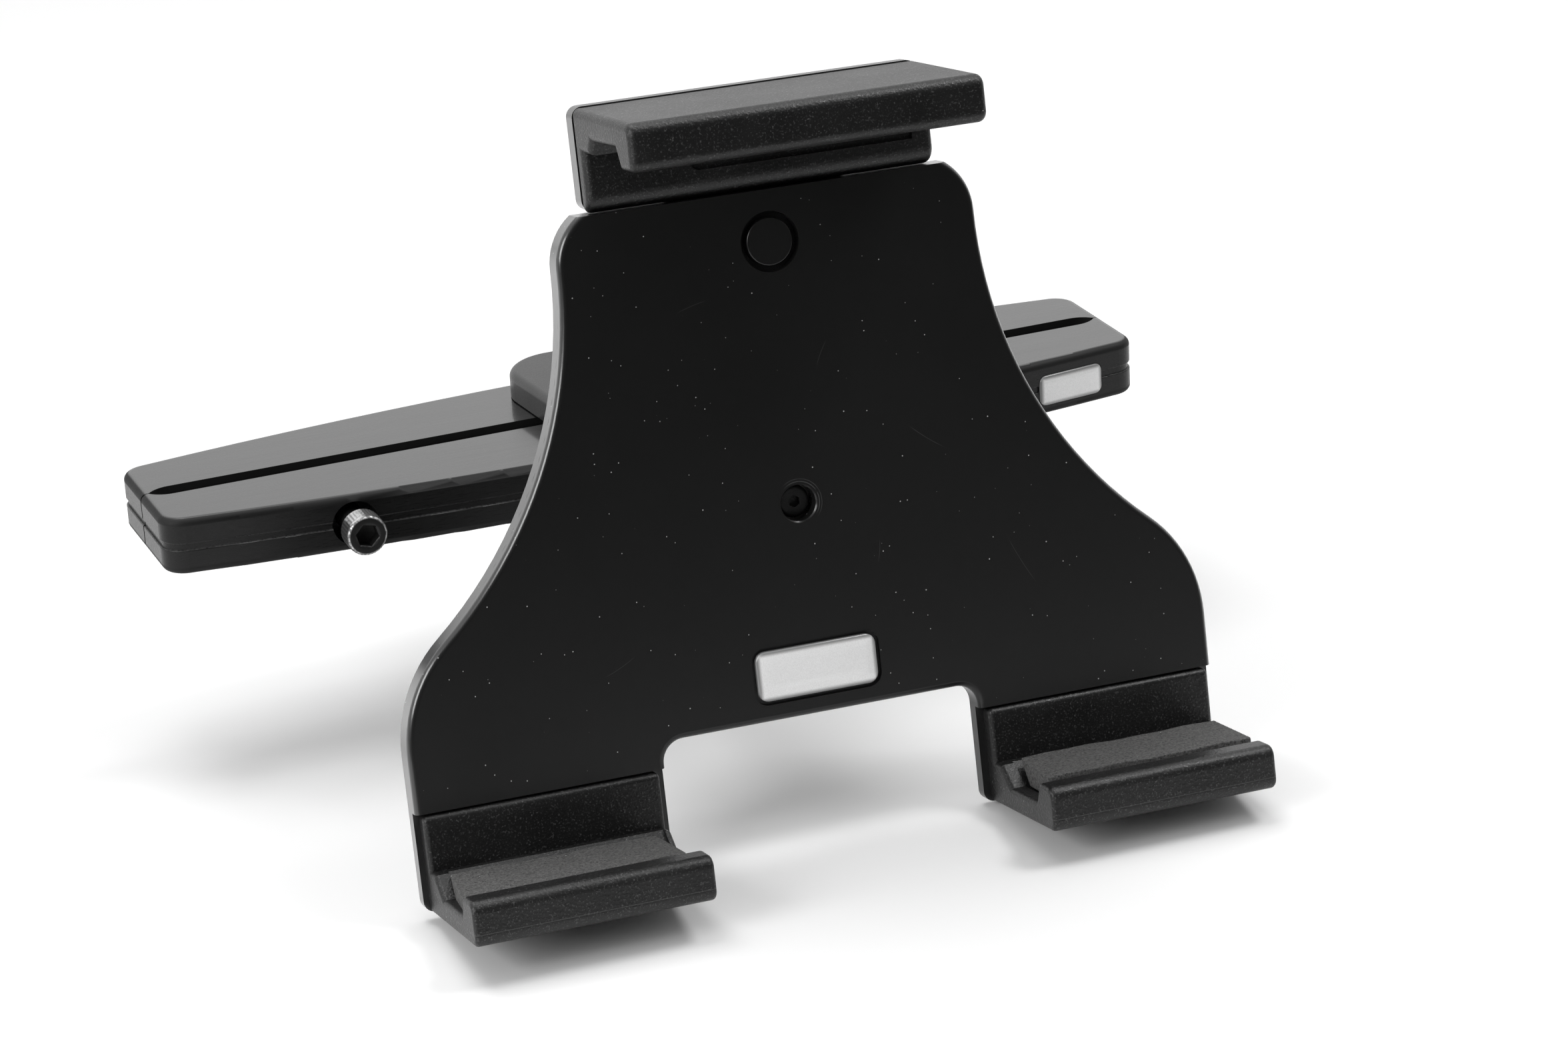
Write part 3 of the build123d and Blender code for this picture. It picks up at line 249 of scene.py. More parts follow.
class Finish:
    """A material that ends in one Principled shader. shine holds the sockets that are constant."""

    def __init__(self, name, **shine):
        self.material = bpy.data.materials.new(name)
        self.material.use_nodes = True
        self.tree = self.material.node_tree
        self.tree.nodes.clear()
        self.shader = self.tree.nodes.new("ShaderNodeBsdfPrincipled")
        output = self.tree.nodes.new("ShaderNodeOutputMaterial")
        self.tree.links.new(self.shader.outputs["BSDF"], output.inputs["Surface"])
        for socket, value in shine.items():
            self.shader.inputs[socket.replace("_", " ")].default_value = value

    def node(self, kind, settings, sockets, output=0):
        """Add one node: its settings first, then the values or links of its sockets."""
        made = self.tree.nodes.new(kind)
        for key, value in settings.items():
            setattr(made, key, value)
        for key, value in sockets.items():
            self.plug(value, made.inputs[key])
        return Reading(self, made.outputs[output])

    def plug(self, value, socket):
        """Link a Reading, or write a constant."""
        if isinstance(value, Reading):
            self.tree.links.new(value.socket, socket)
        else:
            socket.default_value = value

    def give(self, **sockets):
        """Plug readings into the shader's own sockets."""
        for socket, value in sockets.items():
            self.plug(value, self.shader.inputs[socket.replace("_", " ")])

    def place(self):
        """The point's own place in the shared frame, in metres."""
        return self.node("ShaderNodeTexCoord", {}, {}, "Object")

    def along(self, direction, origin):
        """How far the point lies from an origin along a direction, in millimetres: (P - O) . D."""
        sockets = {0: self.place(), 1: tuple(origin)}
        apart = self.node("ShaderNodeVectorMath", {"operation": "SUBTRACT"}, sockets)
        sockets = {0: apart, 1: tuple(float(x) / MM for x in direction)}
        return self.node("ShaderNodeVectorMath", {"operation": "DOT_PRODUCT"}, sockets, "Value")

    def stretched(self, scale):
        """The place with each of its three axes scaled, so that a pattern is drawn out along one."""
        sockets = {0: self.place(), 1: scale}
        return self.node("ShaderNodeVectorMath", {"operation": "MULTIPLY"}, sockets)

    def noise(self, size_mm, detail=2.0, roughness=0.5, place=None):
        """Soft noise from 0 to 1 whose blots are about size_mm across."""
        sockets = {"Vector": place or self.place(), "Scale": 1 / (size_mm * MM)}
        sockets.update({"Detail": detail, "Roughness": roughness})
        return self.node("ShaderNodeTexNoise", {}, sockets, "Fac")

    def cells(self, size_mm, output="Distance"):
        """Distance to the nearest of scattered points, in cells, or that cell's own random colour."""
        sockets = {"Vector": self.place(), "Scale": 1 / (size_mm * MM)}
        return self.node("ShaderNodeTexVoronoi", {}, sockets, output)

    def bright(self, colour):
        """One channel of a random colour, as a number."""
        return self.node("ShaderNodeSeparateColor", {}, {"Color": colour}, "Red")

    def blend(self, share, first, second):
        """A colour between two colours."""
        sockets = {MIX_FACTOR: share, MIX_FIRST: first, MIX_SECOND: second}
        return self.node("ShaderNodeMix", {"data_type": "RGBA"}, sockets, MIX_RESULT)

    def relief(self, height, depth_mm, strength=1.0, under=None):
        """Bump from a height of 0 to 1 that stands for depth_mm, on top of an earlier relief."""
        sockets = {"Height": height, "Distance": depth_mm * MM, "Strength": strength}
        if under is not None:
            sockets["Normal"] = under
        return self.node("ShaderNodeBump", {}, sockets, "Normal")

    def dust(self, spacing_mm, radius_mm, share):
        """A mask of scattered specks: one in some of the cells, with a random size."""
        fleck = self.bright(self.cells(spacing_mm, "Color"))
        reach = fleck.step(1 - share, 1.0, 0.0, radius_mm / spacing_mm)
        return (reach - self.cells(spacing_mm)).step(0.0, 0.25 * radius_mm / spacing_mm)


def grey(level, warmth=0.0):
    """A linear colour close to grey. A positive warmth adds red and takes blue away."""
    return (level * (1 + warmth), level, level * (1 - warmth), 1.0)


# %% [markdown]
# ## The flat plates
# The two plates are cut from black sheet with a fine satin skin. Up close it shows a very fine grain,
# some light dust, a few hairline scratches from handling, and faint rings round the hole where
# a washer has turned. The rounded edges and the back have a clear coat, thinner near the middle, so
# that the edges catch the light. Below the edge it stays off the wall of the hole, and off a round
# spot over the upper half of the rivet's recess.

# %% Plate finish
# Each scratch: how far across and up its middle is, its angle in degrees, its length and its bend
SCRATCHES = (
    (32.0, 10.0, -38.0, 12.0, 0.010),
    (9.0, 33.0, 62.0, 7.0, -0.02),
    (-46.0, -30.0, 25.0, 9.0, 0.015),
    (52.0, -22.0, -63.0, 14.0, 0.006),
    (-20.0, 48.0, 14.0, 8.0, -0.012),
    (18.0, -14.0, 80.0, 6.0, 0.03),
)
SCRATCH_HALF_WIDTH = 0.07
INNER_RING = 4.95
OUTER_RING = 5.55
BARE_SPOT_UP = 66.6
BARE_REACH = 8.6
EDGE_DEPTH = 0.5
FACE_DEPTH = 0.03


def scratch(finish, across, up, line):
    """A bent hairline: near zero distance from t = bend s^2, faded at the ends of its length."""
    x, y, angle, length, bend = line
    turn = math.radians(angle)
    s = (across - x) * math.cos(turn) + (up - y) * math.sin(turn)
    t = (up - y) * math.cos(turn) - (across - x) * math.sin(turn)
    away = abs(t - s * s * bend)
    return away.step(0.0, SCRATCH_HALF_WIDTH, 1.0, 0.0) * abs(s).step(length / 4, length / 2, 1.0, 0.0)


def plate_finish():
    finish = Finish("plate_plastic", IOR=1.4, Coat_Roughness=0.18, Coat_IOR=1.55)
    across = finish.along(plate_across, plate_origin)
    up = finish.along(plate_up, plate_origin)
    radius = (across * across + up * up).root()
    inner = abs(radius - INNER_RING).step(0.0, 0.13, 1.0, 0.0)
    outer = abs(radius - OUTER_RING).step(0.0, 0.1, 0.7, 0.0)
    rings = (inner + outer) * (across + up).step(0.0, 4.0) * finish.noise(3.0).step(0.3, 0.5)
    marks = rings * 0.8
    for line in SCRATCHES:
        marks = marks + scratch(finish, across, up, line) * 0.5
    dust = finish.dust(1.8, 0.17, 0.6)
    cloud = finish.noise(38.0, 3.0)
    out = finish.along(plate_out, plate_origin)
    spot_up = up - BARE_SPOT_UP
    from_spot = (across * across + spot_up * spot_up).root()
    behind = out.step(-EDGE_DEPTH, -FACE_DEPTH, 1.0, 0.0)
    behind = behind * (from_spot > BARE_REACH) * (radius > BARE_REACH)
    edge = (out > -0.4) * out.step(-0.3, -FACE_DEPTH, 1.0, 0.0)
    black = finish.blend(cloud.step(0.3, 0.7), grey(0.007), grey(0.0105))
    marks_and_glints = finish.blend(marks.smaller(1.0), black, grey(0.1))
    finish.give(
        Base_Color=finish.blend(dust, marks_and_glints, grey(0.42)),
        Roughness=cloud.step(0.3, 0.7, 0.33, 0.28),
        Coat_Weight=behind.larger(edge) * abs(across).step(38.0, 42.0, 0.25, 1.0),
        Normal=finish.relief(finish.noise(0.5, 2.0, 0.5), 0.004, 0.5),
    )
    return finish.material


# %% [markdown]
# ## The hooks
# The hooks are injection moulded, and their mould was etched: the skin is a pebble grain, less than
# a millimetre wide. The high spots are a little smoother, and are painted lighter as a painted glint.
# A fine parting line of the mould runs along the front of each lower lip.

# %% Hook finish
PARTING_UP = -74.6
LIP_OUT = 31.0


def hook_finish():
    finish = Finish("hook_plastic", IOR=1.42)
    pebbles = finish.cells(0.75)
    fine = finish.noise(0.42, 3.0, 0.6)
    grain = pebbles * 0.6 + fine * 0.8
    painted_glint = fine.step(0.55, 0.7) * pebbles.step(0.2, 0.45)
    up = finish.along(plate_up, plate_origin)
    out = finish.along(plate_out, plate_origin)
    parting = abs(up - PARTING_UP).step(0.0, 0.14, 1.0, 0.0) * (out > LIP_OUT)
    dust = finish.dust(3.6, 0.2, 0.35)
    patches = finish.noise(22.0, 3.0).step(0.3, 0.7)
    black = finish.blend(patches, grey(0.006), grey(0.0105))
    # The lighter high spots are a painted glint. The parting line is a real mould mark.
    marks_and_glints = finish.blend((painted_glint * 0.8 + parting * 0.5).smaller(1.0), black, grey(0.09))
    finish.give(
        Base_Color=finish.blend(dust, marks_and_glints, grey(0.4)),
        Roughness=patches * 0.05 + 0.37 - painted_glint * 0.18,
        Normal=finish.relief(grain, 0.1, 0.8),
    )
    return finish.material


# %% [markdown]
# ## The bar
# The bar is machined from solid plastic, so it is smoother than the hooks and keeps the cutter's
# fine lines along its length. The flat top and bottom shine more than the rounded edges beside
# them. Specks along the edges of the groove are a painted highlight, and at each end a dark seam
# shows where the two jaws meet, past the end of the slot.

# %% Bar finish
GROOVE_HALF_HEIGHT = 0.8
ROUND_FROM = 5.0
ROUND_TO = 6.98
SEAM_START = 123.5


def bar_finish():
    finish = Finish("bar_plastic", IOR=1.33, Coat_Roughness=0.1, Coat_IOR=1.5)
    lines = finish.noise(0.35, 3.0, 0.6, finish.stretched((0.012, 1.0, 1.0)))
    broad = finish.noise(4.0, 2.0, 0.5, finish.stretched((0.05, 1.0, 1.0)))
    level = abs(finish.along((0, 0, 1), (0, 0, 0)))
    dust = finish.dust(7.0, 0.13, 0.3)
    black = finish.blend(broad.step(0.3, 0.7), grey(0.006), grey(0.009))
    groove_edge = abs(level - GROOVE_HALF_HEIGHT).step(0.05, 0.22, 1.0, 0.0)
    # Lighter specks along the groove's edges are a painted highlight.
    groove_edge_highlight = groove_edge * finish.noise(0.6, 3.0, 0.6).step(0.3, 0.6)
    black = finish.blend(groove_edge_highlight, black, grey(0.07))
    x = abs(finish.along((1, 0, 0), (0, 0, 0)))
    y = finish.along((0, 1, 0), (0, 0, 0))
    whole = abs(y).step(0.12, 0.5, 0.0, 1.0).larger(x < SEAM_START)
    black = finish.blend(whole, grey(0.0), black)
    rounded = level.step(ROUND_FROM, 5.5) * level.step(6.9, ROUND_TO, 1.0, 0.0)
    skin = finish.relief(lines * 0.6 + finish.noise(0.25, 3.0) * 0.4, 0.002, 0.3)
    finish.give(
        Base_Color=finish.blend(dust, black, grey(0.35)),
        Roughness=lines.step(0.3, 0.7, 0.26, 0.34) + rounded * 0.3 + (1.0 - whole) * 0.5,
        Coat_Weight=level.step(6.8, ROUND_TO, 0.0, 0.9),
        Normal=finish.relief(whole, 0.9, 1.0, skin),
    )
    return finish.material


# %% [markdown]
# ## The arm and the swivel
# The arm, the ball's housing and its liner are moulded too. Their grain is about as wide as that of
# the hooks but shallower. They differ from each other only in how dark they are.

# %% Arm and swivel finish
def leather_grain_finish(name, level):
    """A soft moulded grain in a black whose darkest tone is level."""
    finish = Finish(name, IOR=1.5)
    pebbles = finish.cells(0.8)
    fine = finish.noise(0.4, 3.0)
    patches = finish.noise(18.0, 3.0).step(0.3, 0.7)
    finish.give(
        Base_Color=finish.blend(patches, grey(level), grey(level * 1.4)),
        Roughness=fine.step(0.3, 0.7, 0.33, 0.43),
        Normal=finish.relief(pebbles * 0.5 + fine * 0.5, 0.04, 0.7),
    )
    return finish.material


# %% [markdown]
# ## Steel
# The cap screws are black from an oxide bath, which rubs off first where fingers and pliers
# touch: the knurled side and the rim. On the side the bare steel is painted only over the upper
# part, a painted highlight where the light falls. The distance from the screw's axis and the
# depth behind the head's face tell where that is. The small fixing screws and the springs are
# zinc-plated steel, a little stained.

# %% Steel finishes
CAP_X = 81.2
CAP_RADIUS = 5.0
HEAD_TOP = -35.4


def oxide_finish():
    finish = Finish("black_steel", IOR=1.38)
    x = abs(finish.along((1, 0, 0), (0, 0, 0))) - CAP_X
    z = finish.along((0, 0, 1), (0, 0, 0))
    depth = finish.along((0, 1, 0), (0, 0, 0)) - HEAD_TOP
    radius = (x * x + z * z).root()
    blots = finish.noise(0.9, 4.0, 0.65)
    rubbed = (radius + blots * 0.8).step(CAP_RADIUS - 0.3, CAP_RADIUS + 0.1)
    on_head = radius.step(CAP_RADIUS + 0.3, CAP_RADIUS + 0.4, 1.0, 0.0)
    # The bare steel of the side is kept to its upper part: a painted highlight where the light falls.
    upper = (z * 0.9 + x * 0.42 + blots).step(4.7, 5.4, 0.03, 0.9)
    near_face = depth.step(0.3, 0.75, 1.0, 0.0)
    near_side = radius.step(CAP_RADIUS - 0.75, CAP_RADIUS - 0.45)
    rim = near_face * near_side * blots.step(0.4, 0.6, 0.25, 1.0)
    marks_and_glints = (rubbed * upper).larger(rim) * on_head
    finish.give(
        Base_Color=finish.blend(marks_and_glints, grey(0.01), grey(0.62)),
        Metallic=marks_and_glints,
        Roughness=finish.noise(0.5, 3.0).step(0.3, 0.7, 0.34, 0.5),
        Normal=finish.relief(finish.noise(0.5, 4.0, 0.7), 0.08, 0.8),
    )
    return finish.material


def zinc_finish(name, level):
    finish = Finish(name)
    stain = finish.noise(1.4, 4.0, 0.6)
    finish.give(
        Base_Color=finish.blend(stain.step(0.3, 0.7), grey(level, 0.01), grey(level * 0.7, 0.03)),
        Metallic=1.0,
        Roughness=stain.step(0.25, 0.75, 0.24, 0.42),
        Normal=finish.relief(finish.noise(0.2, 3.0), 0.008, 0.6),
    )
    return finish.material


# %% [markdown]
# ## Foam
# The pads are closed-cell rubber foam with its skin cut off, so every face is covered with
# tiny open cells. They are too small to build, but they break the light into light and dark specks.

# %% Foam finish
def foam_finish():
    finish = Finish("pad_foam", IOR=1.3)
    pores = finish.cells(0.8)
    fine = finish.noise(0.6, 3.0, 0.75)
    pits = pores.step(0.05, 0.4, 0.0, 1.0)
    shade = pits * 0.4 + fine.step(0.35, 0.65) * 0.6
    crumbs = finish.dust(2.6, 0.22, 0.4)
    dark = finish.blend(shade, grey(0.016), grey(0.12, 0.01))
    finish.give(
        Base_Color=finish.blend(crumbs, dark, grey(0.45)),
        Roughness=fine.step(0.2, 0.8, 0.82, 0.95),
        Normal=finish.relief(shade, 0.12, 0.9),
    )
    return finish.material


# %% [markdown]
# ## Badge
# A badge is a silver film under a drop of clear resin. Near the outer edge, where the resin curves
# down, the silver is painted grey: a painted shade. It carries no print here. The clear drop is the shader's own
# coat.

# %% Badge finish
def badge_finish():
    finish = Finish("badge_silver", Coat_Roughness=0.05, Coat_IOR=1.5, Coat_Weight=1.0)
    edge = finish.node("ShaderNodeAttribute", {"attribute_name": "edge_mm"}, {}, "Fac")
    flakes = finish.noise(0.25, 3.0, 0.7)
    silver = finish.blend(flakes.step(0.3, 0.7), grey(0.84), grey(0.96))
    finish.give(
        # The grey near the rim is painted shade where the resin curves down.
        Base_Color=finish.blend(edge.step(0.25, 1.35, 1.0, 0.0), silver, grey(0.24)),
        Metallic=edge.step(0.2, 1.6, 0.1, 0.0),
        Roughness=flakes.step(0.2, 0.8, 0.34, 0.5),
    )
    return finish.material


# %% [markdown]
# ## Dress the solid parts
# The record names a finish for each solid part. The same few finishes serve them all, and the
# pieces that are built by hand below take theirs from the same list.

# %% Dress the solid parts
finishes = {
    "plate_plastic": plate_finish(),
    "hook_plastic": hook_finish(),
    "bar_plastic": bar_finish(),
    "arm_plastic": leather_grain_finish("arm_plastic", 0.024),
    "swivel_plastic": leather_grain_finish("swivel_plastic", 0.012),
    "liner_plastic": leather_grain_finish("liner_plastic", 0.04),
    "black_steel": oxide_finish(),
    "zinc_screw": zinc_finish("zinc_screw", 0.55),
    "spring_steel": zinc_finish("spring_steel", 0.42),
    "pad_foam": foam_finish(),
    "badge_silver": badge_finish(),
}
for part in frame["record"]["subparts"]:
    slots = nodes[part["node"]].data.materials
    slots.clear()
    slots.append(finishes[part["material_slot"]])
print("finishes:", len(finishes))

# %% [markdown]
# ## The foam pads
# A pad is a strip cut from foam sheet. Seen from above its ends aren't quite square, and its cut
# faces wander by one or two tenths of a millimetre. It is a closed sleeve: one parameter goes round
# the section, the other runs along the strip, and the sleeve closes to a point at each end.

# %% Pad surface
PAD_LOW = -72.4
PAD_HIGH = -68.0
PAD_FRONT = 24.1
PAD_BACK_LOW = 9.9
PAD_BACK_HIGH = 5.0
PAD_ROUND = 0.35
PAD_ROUND_STEPS = 5
PAD_LONGEST_EDGE = 0.7
PAD_FLAT_RINGS = 7
PAD_FLAT_SHARE = 0.9
PAD_LENGTH_STEPS = 91
WAVE_UP = 0.12
WAVE_OUT = 0.06
ROUGH_CUT = 0.03
PHASE_SPAN = 6.28


def walk_round(corners, radius, steps):
    """Points round a closed outline whose corners are cut short by radius and rounded by a curve."""
    corners = np.asarray(corners, float)
    before = np.roll(corners, 1, 0) - corners
    after = np.roll(corners, -1, 0) - corners
    start = corners + radius * before / np.linalg.norm(before, axis=1)[:, None]
    end = corners + radius * after / np.linalg.norm(after, axis=1)[:, None]
    t = np.linspace(0, 1, steps)[None, :, None]
    arcs = (1 - t) ** 2 * start[:, None] + 2 * t * (1 - t) * corners[:, None] + t ** 2 * end[:, None]
    return arcs.reshape(-1, corners.shape[1])


def fill_in(outline, longest):
    """Add points on the long runs of a closed outline, evenly by length."""
    closed = np.vstack([outline, outline[:1]])
    gaps = np.linalg.norm(np.diff(closed, axis=0), axis=1)
    cuts = np.maximum(1, np.ceil(gaps / longest)).astype(int)
    start = np.repeat(np.arange(len(outline)), cuts)
    share = np.concatenate([np.arange(n) / n for n in cuts])[:, None]
    return closed[start] * (1 - share) + closed[start + 1] * share


def between(corners, across, depth):
    """Bilinear: corners are given as back left, back right, front left, front right."""
    back = corners[0] * (1 - across) + corners[1] * across
    front = corners[2] * (1 - across) + corners[3] * across
    return back * (1 - depth) + front * depth


def pad_grid(xs, outs, tops, seed):
    """Sleeve: a section (depth, height), carried from the left end to the right and closed at both."""
    back = [(PAD_BACK_LOW, PAD_LOW), (PAD_BACK_HIGH, PAD_HIGH)]
    front = [(PAD_FRONT, PAD_HIGH), (PAD_FRONT, PAD_LOW)]
    section = fill_in(walk_round(back + front, PAD_ROUND, PAD_ROUND_STEPS), PAD_LONGEST_EDGE)
    centre = section.mean(0)
    bend = np.sin(np.linspace(0, math.pi / 2, PAD_ROUND_STEPS))
    flat = np.linspace(0, PAD_FLAT_SHARE, PAD_FLAT_RINGS)
    end_size = np.concatenate([flat, PAD_FLAT_SHARE + 0.1 * bend])
    end_inset = np.concatenate([0 * flat, PAD_ROUND * (1 - np.sqrt(1 - bend ** 2))])
    middle = np.linspace(0, 1, PAD_LENGTH_STEPS)[1:-1]
    size = np.concatenate([end_size, np.ones(len(middle)), end_size[::-1]])[:, None]
    share = np.concatenate([np.zeros(len(end_size)), middle, np.ones(len(end_size))])[:, None]
    inset = np.concatenate([end_inset, np.full(len(middle), PAD_ROUND), -end_inset[::-1]])[:, None]
    inset = np.where((share > 0) & (share < 1), 0.0, inset)
    depth = centre[0] + (section[:, 0] - centre[0]) * size
    depth = (depth - PAD_BACK_HIGH) / (PAD_FRONT - PAD_BACK_HIGH)
    height = centre[1] + (section[:, 1] - centre[1]) * size
    height = (height - PAD_LOW) / (PAD_HIGH - PAD_LOW)
    across = between(xs, share, depth) + inset
    out = between(outs, share, depth)
    phase = np.random.default_rng(seed).uniform(0, PHASE_SPAN, 4)
    wave = np.sin(across * 0.21 + phase[0]) + 0.6 * np.sin(across * 0.53 + phase[1])
    rough = np.sin(across * 2.3 + phase[2]) * np.sin(out * 2.9 + height * 9 + phase[3])
    top = between(tops, share, depth)
    up = PAD_LOW + height * (top - PAD_LOW + WAVE_UP * wave + ROUGH_CUT * rough)
    out = out - np.clip(depth, 0, 1) * (WAVE_OUT * wave + ROUGH_CUT * rough)
    return on_plate(across, out, up)


# Each pad's back left, back right, front left and front right corners: how far across they are,
# how far out, and how high the top is there. The last number is the seed of its waves.
PADS = {
    "lower_left_pad": (
        (-92.0, -43.8, -94.3, -42.6), (5.0, 5.0, 24.0, 22.6), (-67.8, -68.0, -69.2, -68.4), 3,
    ),
    "lower_right_pad": (
        (45.0, 94.0, 44.0, 94.4), (4.8, 5.0, 22.8, 24.2), (-66.5, -66.6, -67.5, -67.2), 8,
    ),
}
for node_name, shape in PADS.items():
    grid = pad_grid(*shape)
    foam = finishes["pad_foam"]
    pad = surface_piece(node_name + "_foam", grid, foam, smooth_angle=50.0)
    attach(pad, "holder")
    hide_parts(node_name)

# %% [markdown]
# ## The domed badges
# The drop of resin is a rounded rectangle that rises steeply at its rim and is almost flat over the
# middle. Rings of the same outline, each drawn in a little further, carry the height. Every point
# keeps its distance from the rim as an attribute, which the finish uses for the painted shade at the edge.

# %% Badge surface
RIM_SHARE = 0.55
RIM_SPREAD = 1.5
RIM_STEPS = 9
CROWN_STEPS = 14
CORNER_STEPS = 10


def badge_rings(half_long, half_high, corner, wall, rise):
    """Rings (inset, height): up the wall, round the rim by a quarter ellipse, then a shallow crown."""
    quarter = np.linspace(0, math.pi / 2, RIM_STEPS)
    crown = np.linspace(0, 1, CROWN_STEPS)[1:]
    rim = RIM_SHARE * rise
    spread = rim * RIM_SPREAD
    crown_inset = spread + crown * (half_high - spread)
    crown_height = rim + (rise - rim) * (1 - (1 - crown) ** 2)
    inset = np.concatenate([[half_high, 0.0], spread * (1 - np.cos(quarter)), crown_inset])
    height = np.concatenate([[-wall, -wall], rim * np.sin(quarter), crown_height])
    angle = np.linspace(0, math.pi / 2, CORNER_STEPS)
    turn = np.concatenate([angle + k * math.pi / 2 for k in range(4)])
    sign_x = np.repeat([1, -1, -1, 1], len(angle))
    sign_y = np.repeat([1, 1, -1, -1], len(angle))
    radius = np.maximum(corner - inset, 0.0)[:, None]
    long_half = np.maximum(half_long - inset, 0.0)[:, None] - radius
    high_half = np.maximum(half_high - inset, 0.0)[:, None] - radius
    x = sign_x * long_half + radius * np.cos(turn)
    y = sign_y * high_half + radius * np.sin(turn)
    return x, y, np.broadcast_to(height[:, None], x.shape)


def keep_edge_distance(piece, axes, origin, half_long, half_high):
    """Store each vertex's distance from the badge's rim, in millimetres."""
    points = np.zeros(len(piece.data.vertices) * 3, np.float32)
    piece.data.vertices.foreach_get("co", points)
    flat = (points.reshape(-1, 3) - origin) @ np.array(axes).T / MM
    distance = np.minimum(half_long - abs(flat[:, 0]), half_high - abs(flat[:, 1]))
    attribute = piece.data.attributes.new("edge_mm", "FLOAT", "POINT")
    attribute.data.foreach_set("value", np.maximum(distance, 0).astype(np.float32))


BADGE_UP = -38.1
BADGE_HALF_SIZE = (14.5, 5.75)
BADGE_CORNER = 2.4
BADGE_WALL = 0.85
BADGE_RISE = 0.95
BADGE_SUNK = 0.02
silver = finishes["badge_silver"]
x, y, height = badge_rings(*BADGE_HALF_SIZE, BADGE_CORNER, BADGE_WALL, BADGE_RISE)
grid = on_plate(x, height - BADGE_SUNK, BADGE_UP + y)
plate_drop = surface_piece("plate_badge_drop", grid, silver)
keep_edge_distance(plate_drop, (plate_across, plate_up), on_plate(0, 0, BADGE_UP), *BADGE_HALF_SIZE)
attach(plate_drop, "holder")
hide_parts("plate_badge")

# %% [markdown]
# ## The bar's own badge
# The bar's front is bowed, so the small badge stands a little askew to the bar. Its place and slope
# follow from the bow, as the solid under it does.

# %% Bar badge
BAR_HALF_LENGTH = 126.0
BAR_BOW = 9.8
BAR_FRONT = -30.0
BAR_BADGE_X = 106.4
BAR_BADGE_Z = -0.6
BAR_BADGE_HALF_SIZE = (9.1, 3.9)
BAR_BADGE_CORNER = 1.9
BAR_BADGE_WALL = 0.25
BAR_BADGE_RISE = 0.85
slope = math.atan2(2 * BAR_BOW * BAR_BADGE_X, BAR_HALF_LENGTH ** 2)
bar_out = np.array([math.sin(slope), -math.cos(slope), 0.0])
bar_along = np.array([math.cos(slope), math.sin(slope), 0.0])
bowed_front = BAR_FRONT + BAR_BOW * (BAR_BADGE_X / BAR_HALF_LENGTH) ** 2
bar_spot = np.array([BAR_BADGE_X, bowed_front, BAR_BADGE_Z]) * MM
x, y, height = badge_rings(*BAR_BADGE_HALF_SIZE, BAR_BADGE_CORNER, BAR_BADGE_WALL, BAR_BADGE_RISE)
level = np.array([0.0, 0.0, 1.0])
grid = bar_spot + MM * (x[..., None] * bar_along + y[..., None] * level + height[..., None] * bar_out)
bar_drop = surface_piece("bar_badge_drop", grid, silver)
keep_edge_distance(bar_drop, (bar_along, level), bar_spot, *BAR_BADGE_HALF_SIZE)
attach(bar_drop, "bar")
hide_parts("bar_badge")

# %% [markdown]
# ## The cap screws
# A cap screw is one surface of revolution with two things added: a hexagonal socket, whose wall
# distance is apothem / cos of the angle to the nearest flat, and a knurl, a ripple round the side
# of the head that fades out at its ends. The shank ends in a thread, a ripple that climbs one
# pitch a turn.

# %% Cap screw surface
HEAD_UNDER = -29.4
SOCKET_HALF = 2.5
SHANK_RADIUS = 3.0
SHANK_END = 15.6
KNURLS = 36
KNURL_DEEP = 0.17
KNURL_FADE = (0.3, 0.8) + (1.0,) * 10 + (0.8, 0.3)
THREAD_START = -9.0
THREAD_STEP = 0.125
THREAD_FADE = 1.5
THREAD_DEEP = 0.3
PITCH = 1.0
TURN_STEPS = 288
# Stretches of the profile, as radius and depth. The socket's radii are shares of SOCKET_HALF. The
# socket and the face count from HEAD_TOP, the neck from HEAD_UNDER and the tip from SHANK_END.
SOCKET = ((0.0, 3.6), (0.98, 3.1), (1.0, 3.0), (1.0, 1.5), (1.0, 0.34), (1.04, 0.2))
FACE = ((3.05, 0.03), (3.15, 0.0), (3.6, 0.0), (4.2, 0.02), (4.3, 0.04), (4.7, 0.42), (4.82, 0.6))
NECK = ((4.85, -0.4), (4.6, -0.05), (4.4, 0.0), (3.15, 0.0), (SHANK_RADIUS, 0.15))
TIP = ((2.5, -0.1), (2.4, 0.0), (0.0, 0.0))
PLAIN, THREADED = 0, 2


def cap_screw_profile():
    """Columns of radius, depth, 1 in the hexagon, and kind: up to 1 a share of the knurl, 2 thread."""
    side = np.linspace(HEAD_TOP + 0.75, HEAD_UNDER - 0.7, len(KNURL_FADE))
    thread = np.arange(THREAD_START + THREAD_STEP, SHANK_END - 0.6, THREAD_STEP)
    rows = [(share, HEAD_TOP + depth, 1, PLAIN) for share, depth in SOCKET]
    rows += [(radius, HEAD_TOP + depth, 0, PLAIN) for radius, depth in FACE]
    rows += [(CAP_RADIUS, depth, 0, knurled) for depth, knurled in zip(side, KNURL_FADE)]
    rows += [(radius, HEAD_UNDER + depth, 0, PLAIN) for radius, depth in NECK]
    rows += [(SHANK_RADIUS, THREAD_START + step, 0, PLAIN) for step in (-1.0, 0.0)]
    rows += [(SHANK_RADIUS, depth, 0, THREADED) for depth in thread]
    rows += [(radius, SHANK_END + depth, 0, PLAIN) for radius, depth in TIP]
    return (np.array(column, float)[:, None] for column in zip(*rows))


